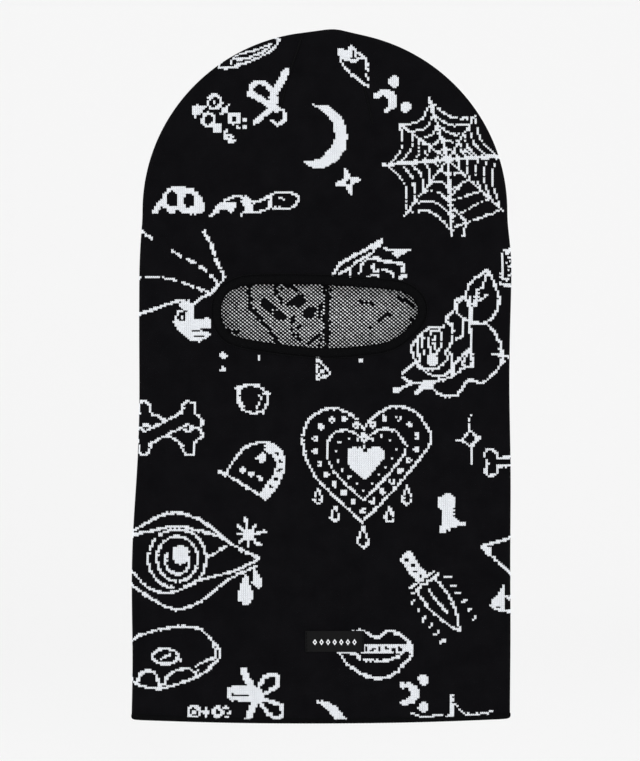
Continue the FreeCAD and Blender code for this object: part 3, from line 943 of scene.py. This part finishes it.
def knit_material():
    """Black V stitches, from the fabric's own stitch count, with painted shade in their grooves."""
    m, tree, shader = new_material("black_knit", BLACK, 0.9, 0.02)
    s = Sums(tree)
    wale, course, _ = s.attribute("fabric")
    in_wale = s.math("ABSOLUTE", s.math("SUBTRACT", s.math("FRACT", wale), 0.5))
    leg = s.math("ABSOLUTE", s.math("SUBTRACT", s.math("MULTIPLY", in_wale, 4.0), 1.0))
    across = s.math("SUBTRACT", 1.0, s.math("POWER", leg, 2.0))
    slant = s.math("SUBTRACT", course, s.math("MULTIPLY", in_wale, 1.6))
    up = s.math("ABSOLUTE", s.math("SINE", s.math("MULTIPLY", slant, math.pi)))
    height = s.math("MULTIPLY", across, s.math("ADD", 0.35, s.math("MULTIPLY", up, 0.65)))
    fuzz = s.noise(2600, 3.0)
    height = s.math("ADD", height, s.math("MULTIPLY", fuzz, 0.5))
    s.bump(height, shader, 0.0004)
    # Colour: painted shade, darker down in the grooves between the stitch legs, from the bump height, mixed
    # with random tone in the yarn.
    groove_shade_and_tone = s.math("MULTIPLY", s.math("ADD", s.math("MULTIPLY", height, 0.5), s.noise(90, 2.0)), 0.8)
    color = s.ramp(groove_shade_and_tone, (0.0014, 0.0013, 0.0018), (0.0052, 0.0050, 0.0060))
    tree.links.new(color, shader.inputs["Base Color"])
    return m


def lining_material():
    """The inside: white and black stitches by turns. Behind the slot the white ones are real loops."""
    m, tree, shader = new_material("birdseye_lining", (0.1, 0.1, 0.1), 0.95, 0.02)
    s = Sums(tree)
    wale, course, behind_slot = s.attribute("fabric")
    x = s.math("SINE", s.math("MULTIPLY", wale, math.pi))
    z = s.math("SINE", s.math("MULTIPLY", course, math.pi))
    checker = s.math("MULTIPLY", x, z)
    white = s.math("MULTIPLY", s.math("MAXIMUM", checker, 0.0), 1.4)
    white = s.math("MINIMUM", s.math("MAXIMUM", s.math("SUBTRACT", white, 0.60), 0.0), 1.0)
    white = s.math("MULTIPLY", white, s.math("SUBTRACT", 1.0, behind_slot))
    color = s.ramp(white, BLACK, WHITE)
    tree.links.new(color, shader.inputs["Base Color"])
    s.bump(s.math("ADD", white, s.math("MULTIPLY", s.noise(2500), 0.4)), shader, 0.0003)
    return m


def yarn_material(name, low, high, scale, depth=0.00015):
    """Spun yarn: fine uneven fibres."""
    m, tree, shader = new_material(name, high, 0.95, 0.02)
    s = Sums(tree)
    fibres = s.noise(scale, 4.0)
    color = s.ramp(fibres, low, high)
    tree.links.new(color, shader.inputs["Base Color"])
    s.bump(fibres, shader, depth)
    return m


def woven_material(name, low, high):
    """A damask label: fine ribs across, with painted shade between the threads."""
    m, tree, shader = new_material(name, high, 0.8, 0.03)
    s = Sums(tree)
    place = tree.nodes.new("ShaderNodeTexCoord")
    split = tree.nodes.new("ShaderNodeSeparateXYZ")
    tree.links.new(place.outputs["Object"], split.inputs[0])
    across = s.math("ABSOLUTE", s.math("SINE", s.math("MULTIPLY", split.outputs[0], math.pi / 0.00045)))
    up = s.math("ABSOLUTE", s.math("SINE", s.math("MULTIPLY", split.outputs[2], math.pi / 0.0003)))
    weave = s.math("MULTIPLY", across, up)
    # The colour follows the weave's height: painted shade, darker in the gaps between the threads.
    color = s.ramp(weave, low, high)
    tree.links.new(color, shader.inputs["Base Color"])
    s.bump(s.math("ADD", weave, s.math("MULTIPLY", s.noise(3000), 0.3)), shader, 0.00012)
    return m


knit = knit_material()
lining = lining_material()
white_yarn = yarn_material("white_yarn", (0.76, 0.785, 0.82), (0.91, 0.93, 0.96), 1100, 0.0002)
# The loops behind the slot are the same white yarn as the drawings, painted lighter to offset the shade
# inside the hood.
painted_bright_loop_yarn = yarn_material("painted_bright_loop_yarn", (0.86, 0.88, 0.90), (0.97, 0.98, 1.0), 1100, 0.0001)
rib_yarn = yarn_material("rib_binding", (0.0010, 0.0010, 0.0012), (0.0042, 0.0042, 0.0046), 1300)
thread = yarn_material("seam_thread", (0.0016, 0.0016, 0.0019), (0.0058, 0.0058, 0.0062), 2200)
label_cloth = woven_material("woven_label", (0.0045, 0.0045, 0.0048), (0.0120, 0.0120, 0.0122))
label_white = woven_material("label_mark", (0.62, 0.63, 0.65), (0.86, 0.87, 0.88))


# ---------------------------------------------------------------- the hood

SIDE_ROWS = 104
CROWN_ROWS = 52
ACROSS = 104  # cells across each face


def hood_rows():
    """Rows of (x, z) from the hem up to just under the top, each from the left outline to the right."""
    s = np.sin(np.pi / 2 * np.linspace(-1, 1, ACROSS + 1))
    low = HEM_LOW + 1.4
    rows = []
    for n in range(SIDE_ROWS):
        z = low + (CROWN_Z - low) * n / SIDE_ROWS
        z = z + hem_rise(116 * s) * (1 - smoothstep(0, 30, z - low))
        rows.append((middle_x(z) + half_width(z) * s, z))
    for n in range(CROWN_ROWS):
        theta = np.pi / 2 * n / CROWN_ROWS
        x, z = np.cos(theta) * s, np.sin(theta) + 0 * s
        r = np.maximum(np.hypot(x, z), 1e-9)
        grow = crown_radius(np.arctan2(z, x))
        rows.append((LEAN + grow * x, CROWN_Z + grow * z))
    return rows


def groove(x, z):
    """How far the surface sinks along the dart seams."""
    deep = 0 * x
    for side in (-1, 1):
        line = dart_line(side)
        at_z = np.interp(-z, -line[:, 1], line[:, 0])
        gap = np.abs(x - at_z)
        fade = smoothstep(DART_TIP[1] - 8, DART_TIP[1] + 12, z)
        deep = deep + 0.7 * fade * np.exp(-((gap / 1.9) ** 2))
    return deep


def make_hood():
    rows = hood_rows()
    ring = 2 * ACROSS
    points, plan = [], []
    for x, z in rows:
        sunk = groove(x, z)
        front = np.stack([x, -np.maximum(half_depth(x, z, -1) - sunk, 0), z], axis=1)
        back = np.stack([x, np.maximum(half_depth(x, z, 1) - sunk, 0), z], axis=1)[::-1][1:-1]
        front[[0, -1], 1] = 0
        points.append(np.concatenate([front, back]))
        plan.append(np.concatenate([np.stack([x, z], axis=1), np.stack([x, z], axis=1)[::-1][1:-1]]))
    theta = np.pi / 2
    top = (LEAN, CROWN_Z + float(crown_radius(theta)))
    points = np.concatenate(points + [np.array([[top[0], 0, top[1]]])])
    plan = np.concatenate(plan + [np.array([top])])
    pole = len(points) - 1

    faces = []
    for r in range(len(rows) - 1):
        for c in range(ring):
            a, b = r * ring + c, r * ring + (c + 1) % ring
            faces.append((a, b, b + ring, a + ring))
    last = (len(rows) - 1) * ring
    for c in range(ring):
        faces.append((last + c, last + (c + 1) % ring, pole))
    middles = np.array([plan[list(f)].mean(0) for f in faces])
    face_column = np.array([f[0] % ring for f in faces])
    cut = in_polygon(middles, binding_line) & (face_column < ACROSS)
    faces = [f for f, gone in zip(faces, cut) if not gone]

    shell = bpy.data.meshes.new("shell")
    shell.from_pydata(points.tolist(), [], faces)
    shell.update()
    normals = np.zeros(len(points) * 3, np.float32)
    shell.vertices.foreach_get("normal", normals)
    normals = normals.reshape(-1, 3)
    bpy.data.meshes.remove(shell)
    inner = points - normals * KNIT
    count = len(points)

    inner_faces = [tuple(i + count for i in reversed(f)) for f in faces]
    rim_faces = [(b, a, a + count, b + count) for a, b in open_edges(faces)]
    slots = [0] * len(faces) + [1] * len(inner_faces) + [0] * len(rim_faces)
    every = np.concatenate([points, inner])
    used = np.zeros(len(every), bool)
    all_faces = faces + inner_faces + rim_faces
    for f in all_faces:
        used[list(f)] = True
    order = np.cumsum(used) - 1
    all_faces = [tuple(int(order[i]) for i in f) for f in all_faces]
    piece = new_piece("knit_hood", every[used], all_faces, [knit, lining], True, slots)

    distance, ux, uz = inside(plan[:, 0], plan[:, 1])
    along = np.interp(np.clip(distance, 0, 60), _d, _along) + np.maximum(distance - 60, 0)
    back_out = along - EXTRA - distance
    flat = plan + np.stack([ux * back_out, uz * back_out], axis=1)
    scale = WALE * (half_width(flat[:, 1]) + EXTRA) / FULL
    wales = (flat[:, 0] - middle_x(flat[:, 1])) / scale
    courses = (flat[:, 1] - (HEM_LOW + 1.9)) / COURSE + 0.5
    behind_slot = (np.abs(plan[:, 0] - SLOT_X) < 66) & (np.abs(plan[:, 1] - SLOT_Z) < 27)
    fabric = np.stack([wales, courses, behind_slot], axis=1)
    fabric = np.concatenate([fabric, fabric])[used]
    attribute = piece.data.attributes.new("fabric", "FLOAT_VECTOR", "POINT")
    attribute.data.foreach_set("vector", fabric.ravel().astype(np.float32))
    return piece


hood = make_hood()

# ---------------------------------------------------------------- white stitches

LEG = [(0.02, -0.66), (-0.10, 0.56), (-0.55, 0.66), (-0.42, -0.58)]
RIDGE = [(-0.20, -0.30), (-0.33, 0.30)]
LEG_FACES = [(0, 1, 5, 4), (2, 3, 4, 5), (3, 0, 4), (1, 2, 5), (3, 2, 1, 0)]


def stitch_template():
    points, faces = [], []
    for side in (1, -1):
        start = len(points)
        points += [(x * side * WALE, z * COURSE, 0.04) for x, z in LEG]
        points += [(x * side * WALE, z * COURSE, 0.34) for x, z in RIDGE]
        for f in LEG_FACES:
            order = f if side < 0 else tuple(reversed(f))
            faces.append(tuple(start + i for i in order))
    return np.array(points), faces


def make_stitches(name, c, face):
    white = c["white"]
    origins, axes = stitch_frames(c["flat"][white], face)
    axes[:, 0] *= c["scale"][white][:, None]
    template, faces = stitch_template()
    if face > 0:
        faces = [tuple(reversed(f)) for f in faces]
    points, every = stamped(template, faces, origins, axes)
    return new_piece(name, points, every, white_yarn, True)


front_chart, back_chart = chart(-1), chart(1)
draw_art([front_chart, back_chart])
front_stitches = make_stitches("motif_stitches_front", front_chart, -1)
back_stitches = make_stitches("motif_stitches_back", back_chart, 1)

# ---------------------------------------------------------------- the inside seen through the slot


# The dark drawing that shows on the lining: each curve and line with its width.
LINING_CURVES = [
    (2.2, [(-44, -167), (-36, -176), (-28, -186), (-25, -191)]),
    (1.7, [(-27, -154), (-28, -160), (-24, -163)]),
    (1.6, [(-24, -156), (-20, -153), (-16, -156)]),
    (1.9, [(-1, -182), (-4, -187), (-8, -190)]),
]
LINING_LINES = [
    (2.3, [(-44, -150), (-44, -167)]),
    (1.6, [(-17, -174), (-18, -180), (-17, -184)]),
    (1.6, [(-13, -177), (-14, -187)]),
    (1.7, [(-60, -181), (-50, -183)]),
    (1.7, [(24, -164), (31, -165)]),
    (1.9, [(48, -162), (56, -166)]),
    (1.7, [(36, -175), (42, -172)]),
    (1.7, [(29, -178), (31, -181)]),
    (1.7, [(54, -176), (59, -174)]),
]
LINING_BLOBS = [
    [(-38, -163), (-34, -162), (-28, -167), (-31, -169), (-36, -167)],
    [(-30, -169), (-25, -170), (-21, -174), (-26, -175)],
    [(-20, -165), (-14, -160), (-9, -162), (-12, -167), (-18, -166)],
    [(-10, -168), (-5, -168), (-4, -172), (-9, -174)],
]


def make_loops():
    """White loops of the inside of the back, black where the drawing on the outside is white."""
    count = int(67 / WALE)
    number = np.arange(-count, count)
    low, high = int((SLOT_Z - 27 - HEM_LOW) / COURSE), int((SLOT_Z + 27 - HEM_LOW) / COURSE)
    level = np.arange(low, high)
    column, row = [g.ravel() for g in np.meshgrid(number, level)]
    z = HEM_LOW + 1.9 + row * COURSE
    x = middle_x(z) + (column + 0.5) * WALE * (half_width(z) + EXTRA) / FULL
    spots = np.stack([x, z], axis=1)
    random = np.random.default_rng(7)
    c = {"art": spots + random.normal(0, 0.45, spots.shape), "white": (row + column) % 2 == 0}
    pen = Pen([c], 0, 0)
    for width, points in LINING_CURVES:
        pen.curve(points, width, white=False)
    for width, points in LINING_LINES:
        pen.line(points, width, white=False)
    for points in LINING_BLOBS:
        pen.blob(points, white=False)
    in_seam = np.abs(spots[:, 0] - 2.2) < 3.8
    in_core = np.abs(spots[:, 0] - 3.2 - 0.5 * np.sin(spots[:, 1] / 3)) < 1.1
    keep = c["white"] & ~(in_core & (random.random(len(spots)) < 0.85))
    keep &= ~in_seam | (random.random(len(spots)) < 0.72)
    spots = spots[keep]
    over_seam = np.exp(-(((spots[:, 0] - middle_x(spots[:, 1])) / 1.7) ** 2))
    inner = half_depth(spots[:, 0], spots[:, 1], 1) - KNIT - 0.9 * over_seam
    origins = np.stack([spots[:, 0], inner, spots[:, 1]], axis=1)
    t = np.radians(np.arange(6) * 60 + 20)
    wide, tall, skew = 0.67, 0.57, 0.08
    rim = np.stack([wide * np.cos(t) - skew * np.sin(t), 0 * t, tall * np.sin(t) - skew * np.cos(t)], axis=1)
    template = np.concatenate([rim, [(-0.1, -0.34, 0.1)], [(0, 0.15, 0)]])
    faces = [(k, (k + 1) % 6, 6) for k in range(6)] + [((k + 1) % 6, k, 7) for k in range(6)]
    axes = np.repeat(np.eye(3)[None], len(spots), axis=0)
    axes *= (1 + 0.10 * random.standard_normal(len(spots)))[:, None, None]
    points, every = stamped(template, faces, origins, axes)
    return new_piece("birdseye_loops", points, every, painted_bright_loop_yarn)


loops = make_loops()

# ---------------------------------------------------------------- tubes and chains


def tube(name, line, across, outwards, half_w, half_d, material, sides=12, closed=True):
    """A tube of oval section along a line; across and outwards are the section's directions at each point,
    and half_w and half_d may change along it."""
    n = len(line)
    t = np.linspace(0, TAU, sides, endpoint=False)
    half_w, half_d = np.broadcast_to(half_w, n), np.broadcast_to(half_d, n)
    points = (
        line[:, None]
        + across[:, None] * (half_w[:, None] * np.cos(t))[..., None]
        + outwards[:, None] * (half_d[:, None] * np.sin(t))[..., None]
    ).reshape(-1, 3)
    faces = []
    for k in range(n if closed else n - 1):
        a, b = k * sides, (k + 1) % n * sides
        for j in range(sides):
            i = (j + 1) % sides
            faces.append((a + j, a + i, b + i, b + j))
    if not closed:
        faces.append(tuple(range(sides))[::-1])
        faces.append(tuple((n - 1) * sides + j for j in range(sides)))
    return new_piece(name, points, faces, material)


def chain(name, line, outwards, link, width, thick, material, closed=False):
    """Separate overlapping loops of thread along a line, as a linked or sewn seam shows them."""
    length = np.linalg.norm(np.diff(line, axis=0), axis=1).sum()
    if closed:
        length += np.linalg.norm(line[0] - line[-1])
    count = max(int(length / link), 2)
    p = resampled(line, count, closed)
    o = resampled(outwards, count, closed)
    o /= np.linalg.norm(o, axis=1)[:, None]
    ahead = np.roll(p, -1, axis=0) - np.roll(p, 1, axis=0)
    if not closed:
        ahead[0], ahead[-1] = p[1] - p[0], p[-1] - p[-2]
    ahead /= np.linalg.norm(ahead, axis=1)[:, None]
    side = np.cross(o, ahead)
    axes = np.stack([ahead, side, o], axis=1)
    t = np.linspace(0, TAU, 8, endpoint=False)
    rings = [(-0.62, 0.35), (-0.3, 0.9), (0.1, 1.0), (0.5, 0.7)]
    template = [(-0.8 * link, 0, -0.1 * thick)]
    for x, r in rings:
        lift = 0.25 * thick * (1 - abs(x))
        template += [(x * link, r * width / 2 * math.cos(a), lift + r * thick / 2 * math.sin(a)) for a in t]
    template.append((0.72 * link, 0, 0))
    faces = [(0, 1 + (k + 1) % 8, 1 + k) for k in range(8)]
    for r in range(len(rings) - 1):
        s0, s1 = 1 + 8 * r, 9 + 8 * r
        faces += [(s0 + k, s0 + (k + 1) % 8, s1 + (k + 1) % 8, s1 + k) for k in range(8)]
    end, s0 = len(template) - 1, 1 + 8 * (len(rings) - 1)
    faces += [(s0 + k, s0 + (k + 1) % 8, end) for k in range(8)]
    points, every = stamped(np.array(template), faces, p, axes)
    return new_piece(name, points, every, material)


# ---------------------------------------------------------------- binding and stitches round the slot


def make_binding():
    length = np.linalg.norm(binding_line - np.roll(binding_line, 1, axis=0), axis=1).sum()
    ribs = int(length / 1.25)
    n = ribs * 6
    flat = resampled(binding_line, n)
    out2 = outward(flat)
    y = half_depth(flat[:, 0], flat[:, 1], -1)
    line = np.stack([flat[:, 0], -y + 0.55, flat[:, 1]], axis=1)
    across = np.stack([out2[:, 0], 0 * y, out2[:, 1]], axis=1)
    forward = np.tile((0.0, -1.0, 0.0), (n, 1))
    wave = 0.5 + 0.5 * np.cos(TAU * ribs * np.arange(n) / n)
    rib = 0.16 * wave
    return tube("slot_binding_rib", line, across, forward, BINDING / 2 - 0.2 + rib, 2.2 + rib, rib_yarn, 16)


binding = make_binding()


def make_slot_row():
    edge = slot_edge + slot_out * (BINDING + 0.35)
    line = surface(edge[:, 0], edge[:, 1], -1, 0.05)
    outwards = surface(edge[:, 0], edge[:, 1], -1, 1.05) - line
    return chain("slot_stitch_row", line, outwards, 1.35, 1.0, 0.8, thread, closed=True)


slot_row = make_slot_row()

# ---------------------------------------------------------------- seams


def make_dart(name, side, face):
    flat = resampled(dart_line(side), 60, closed=False)
    line = surface(flat[:, 0], flat[:, 1], face, -0.55)
    outwards = surface(flat[:, 0], flat[:, 1], face, 0.45) - line
    return chain(name, line, outwards, 1.3, 1.5, 0.9, thread)


darts = []
for face, layer in ((-1, "front"), (1, "back")):
    for side, hand in ((-1, "left"), (1, "right")):
        dart = make_dart(f"dart_seam_{layer}_{hand}", side, face)
        darts.append((dart, f"{layer}_dart_seam_{hand}"))


def make_back_seam():
    z = np.linspace(HEM_LOW + 5.5, TOP - 4, 400)
    x = middle_x(z)
    line = surface(x, z, 1, 0.0)
    outwards = surface(x, z, 1, 1.0) - line
    return chain("back_seam_chain", line, outwards, 1.25, 2.0, 1.1, thread)


back_seam = make_back_seam()


def make_back_seam_inside():
    """The turned-in edges of the back seam, on the inside."""
    z = np.linspace(HEM_LOW + 5.5, TOP - 12, 1100)
    x = middle_x(z) + 0.9 * np.sin(z / 37)
    wave = 0.5 + 0.5 * np.sin(z * TAU / 1.3)
    y = half_depth(x, z, 1) - KNIT - 0.1
    line = np.stack([x, y, z], axis=1)
    across = np.tile((1.0, 0.0, 0.0), (len(z), 1))
    inwards = np.tile((0.0, -1.0, 0.0), (len(z), 1))
    half_w, half_d = 1.5 + 0.2 * wave, 0.8 + 0.12 * wave
    return tube("back_seam_ridge", line, across, inwards, half_w, half_d, thread, 10, False)


seam_ridge = make_back_seam_inside()


def make_tack():
    """The thread that closes the very top, where the four gores meet."""
    x = np.linspace(-6, 6, 40)
    top = TOP + 0.1
    y = 1.3 * np.sin(x * 1.9)
    z = top - 2.4 + 0.25 * np.cos(x * 3.8) - x * x / 230
    line = np.stack([LEAN + 1 + x, y, z], axis=1)
    up = np.tile((0.0, 0.0, 1.0), (len(x), 1))
    return chain("crown_tack_thread", line, up, 1.1, 0.9, 0.8, thread)


tack = make_tack()

# ---------------------------------------------------------------- the neck edge


def make_hem():
    """Bound-off edge: a soft roll with one loop for each wale."""
    n = HALF_COUNT * 4 * 6
    t = np.arange(n) / n
    half = half_width(HEM_LOW)
    s = np.sin(np.pi / 2 * (1 - 4 * np.abs(((t + 0.25) % 1) - 0.5)))
    face = np.where((t < 0.25) | (t >= 0.75), -1.0, 1.0)
    x = half * s
    z = HEM_LOW + hem_rise(x) + 2.3
    y = face * np.maximum(half_depth(x, z, -1), 0)
    line = np.stack([x, y * (1 - KNIT / 2 / 7.5), z - 0.4], axis=1)
    line[:, 0] *= 1 - KNIT / 2 / half
    step = np.roll(line, -1, axis=0) - np.roll(line, 1, axis=0)
    step[:, 2] = 0
    step /= np.maximum(np.linalg.norm(step, axis=1), 1e-9)[:, None]
    across = np.stack([step[:, 1], -step[:, 0], 0 * x], axis=1)
    flip = np.sign(across[:, 1] * face)
    across *= np.where(flip < 0, -1, 1)[:, None]
    ends = np.abs(s) > 0.9995
    across[ends] = np.stack([np.sign(s[ends]), 0 * s[ends], 0 * s[ends]], axis=1)
    down = np.tile((0.0, 0.0, -1.0), (n, 1))
    wave = 0.5 + 0.5 * np.cos(TAU * t * HALF_COUNT * 4)
    return tube("hem_bound_edge", line, across, down, 1.25 + 0.10 * wave, 1.9 + 0.12 * wave, rib_yarn, 12)


hem = make_hem()

# ---------------------------------------------------------------- the label

LABEL_LOW, LABEL_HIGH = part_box("front_label")
LABEL_X = (LABEL_LOW.x + LABEL_HIGH.x) / 2 / MM
LABEL_Z = (LABEL_LOW.z + LABEL_HIGH.z) / 2 / MM
LABEL_W = (LABEL_HIGH.x - LABEL_LOW.x) / MM
LABEL_H = (LABEL_HIGH.z - LABEL_LOW.z) / MM


def make_label():
    """A woven label lying on the knit, a little higher away from its two ends."""
    nx, nz = 72, 26
    gx, gz = np.meshgrid(np.linspace(-0.5, 0.5, nx + 1), np.linspace(-0.5, 0.5, nz + 1))
    x, z = LABEL_X + gx.ravel() * LABEL_W, LABEL_Z + gz.ravel() * LABEL_H
    edge = (0.5 - np.abs(gx.ravel())) * LABEL_W
    puff = 0.10 * np.sin(gx.ravel() * 9) * np.cos(gz.ravel() * 3) + 0.12 * (1 - np.exp(-edge))
    lift = 0.62 + puff
    top = surface(x, z, -1, lift)
    under = surface(x, z, -1, lift - 0.55)
    count = len(top)
    row = nx + 1
    faces = []
    for j in range(nz):
        for i in range(nx):
            a = j * row + i
            faces.append((a, a + 1, a + row + 1, a + row))
    rim = [(b, a, a + count, b + count) for a, b in open_edges(faces)]
    faces += [tuple(i + count for i in reversed(f)) for f in faces[:]] + rim
    return new_piece("woven_front_label", np.concatenate([top, under]), faces, label_cloth)


label = make_label()


def make_label_mark():
    """A generic row of small woven diamonds."""
    origins = []
    for n in range(7):
        origins.append((LABEL_X + (n - 3) * 4.0, LABEL_Z - 0.4))
    flat = np.array(origins)
    y_top = surface(flat[:, 0], flat[:, 1], -1, 0.80)
    outline = np.array([(-1.3, 0), (0, -1.9), (1.3, 0), (0, 1.9)])
    hole = outline * 0.42
    template = np.concatenate([outline, hole])
    low = np.stack([template[:, 0], 0 * template[:, 0] + 0.12, template[:, 1]], axis=1)
    high = low - (0, 0.24, 0)
    faces = []
    for k in range(4):
        j = (k + 1) % 4
        faces.append((8 + k, 8 + j, 12 + j, 12 + k))
        faces.append((j, k, 4 + k, 4 + j))
        faces.append((k, j, 8 + j, 8 + k))
        faces.append((4 + j, 4 + k, 12 + k, 12 + j))
    axes = np.repeat(np.eye(3)[None], len(flat), axis=0)
    points, every = stamped(np.concatenate([low, high]), faces, y_top, axes)
    return new_piece("label_woven_mark", points, every, label_white, False)


mark = make_label_mark()


def make_label_stitches():
    """Five short hand stitches at each end."""
    spots = []
    for side in (-1, 1):
        for n in range(5):
            spots.append((LABEL_X + side * (LABEL_W / 2 - 0.9), LABEL_Z + (n - 2) * 2.4))
    flat = np.array(spots)
    origins = surface(flat[:, 0], flat[:, 1], -1, 0.80)
    t = np.linspace(0, TAU, 8, endpoint=False)
    template, faces = [], []
    for k, (z, r) in enumerate(((-0.95, 0.10), (-0.6, 0.24), (0.0, 0.28), (0.6, 0.24), (0.95, 0.10))):
        template += [(r * math.cos(a), -0.1 + 0.8 * r * math.sin(a), z) for a in t]
    for k in range(4):
        faces += [(8 * k + i, 8 * k + 8 + i, 8 * k + 8 + (i + 1) % 8, 8 * k + (i + 1) % 8) for i in range(8)]
    faces.append(tuple(range(8)))
    faces.append(tuple(range(39, 31, -1)))
    axes = np.repeat(np.eye(3)[None], len(flat), axis=0)
    points, every = stamped(np.array(template), faces, origins, axes)
    return new_piece("label_end_stitches", points, every, thread)


label_stitches = make_label_stitches()

# ---------------------------------------------------------------- the frame's names

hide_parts("front_panel", "back_panel_left", "back_panel_right")
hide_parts("slot_binding")
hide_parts("slot_stitching")
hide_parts("centre_back_seam")
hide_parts("hem_edge")
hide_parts("crown_tack")
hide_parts("front_label")
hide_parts("label_stitches")
for dart, node in darts:
    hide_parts(node)

slots = {
    "black_knit": [hood],
    "white_yarn": [front_stitches, back_stitches],
    "birdseye_lining": [loops],
    "rib_binding": [binding, hem],
    "seam_thread": [slot_row, back_seam, seam_ridge, tack, label_stitches] + [dart for dart, node in darts],
    "woven_label": [label, mark],
}
for name, members in slots.items():
    for piece in members:
        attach(piece, "root")

on_hood = [front_stitches, back_stitches, loops, binding, slot_row, back_seam, seam_ridge, tack, hem]
on_hood += [dart for dart, node in darts]

# ---------------------------------------------------------------- stage, light and camera


def make_stage():
    """A pale floor that turns up into a wall behind."""
    floor_z, wall_y, bend = -600, 3600, 1800
    line = [(-6000, floor_z), (wall_y - bend, floor_z)]
    for k in range(1, 17):
        t = np.pi / 2 * k / 16
        line.append((wall_y - bend + bend * math.sin(t), floor_z + bend * (1 - math.cos(t))))
    line.append((wall_y, 6000))
    points, faces = [], []
    for x in (-7000, 7000):
        points += [(x, y, z) for y, z in line]
    n = len(line)
    for k in range(n - 1):
        faces.append((k, n + k, n + k + 1, k + 1))
    m, _, shader = new_material("pale_floor", (0.60, 0.60, 0.60), 0.9, 0.0)
    shader.inputs["Emission Color"].default_value = (1, 1, 1, 1)
    shader.inputs["Emission Strength"].default_value = 0.34
    return new_piece("floor", points, faces, m)


floor = make_stage()


def area_light(name, place, size, power):
    """A square light that faces the middle of the hood."""
    data = bpy.data.lights.new(name, "AREA")
    data.shape = "SQUARE"
    data.size = size * MM
    data.energy = power
    lamp = bpy.data.objects.new(name, data)
    lamp.location = Vector(place) * MM
    look = (Vector((0, 0, -210)) - Vector(place)).normalized()
    lamp.rotation_euler = look.to_track_quat("-Z", "Y").to_euler()
    lamp.visible_camera = False
    bpy.context.scene.collection.objects.link(lamp)


area_light("key_light", (-900, -1500, 700), 1400, 9)
area_light("front_light", (350, -1900, 60), 800, 15)

world = bpy.data.worlds.new("studio")
bpy.context.scene.world = world
world.use_nodes = True
world.node_tree.nodes["Background"].inputs["Color"].default_value = (1, 1, 1, 1)
world.node_tree.nodes["Background"].inputs["Strength"].default_value = 0.90

camera_data = bpy.data.cameras.new("camera")
camera_data.lens = 100
camera_data.sensor_fit = "HORIZONTAL"
camera_data.sensor_width = 30.10
camera = bpy.data.objects.new("camera", camera_data)
camera.location = Vector((-0.6, -1297, -212.2)) * MM
camera.rotation_euler = (math.radians(90), 0, 0)
bpy.context.scene.collection.objects.link(camera)
bpy.context.scene.camera = camera
bpy.context.scene.view_settings.view_transform = "Standard"
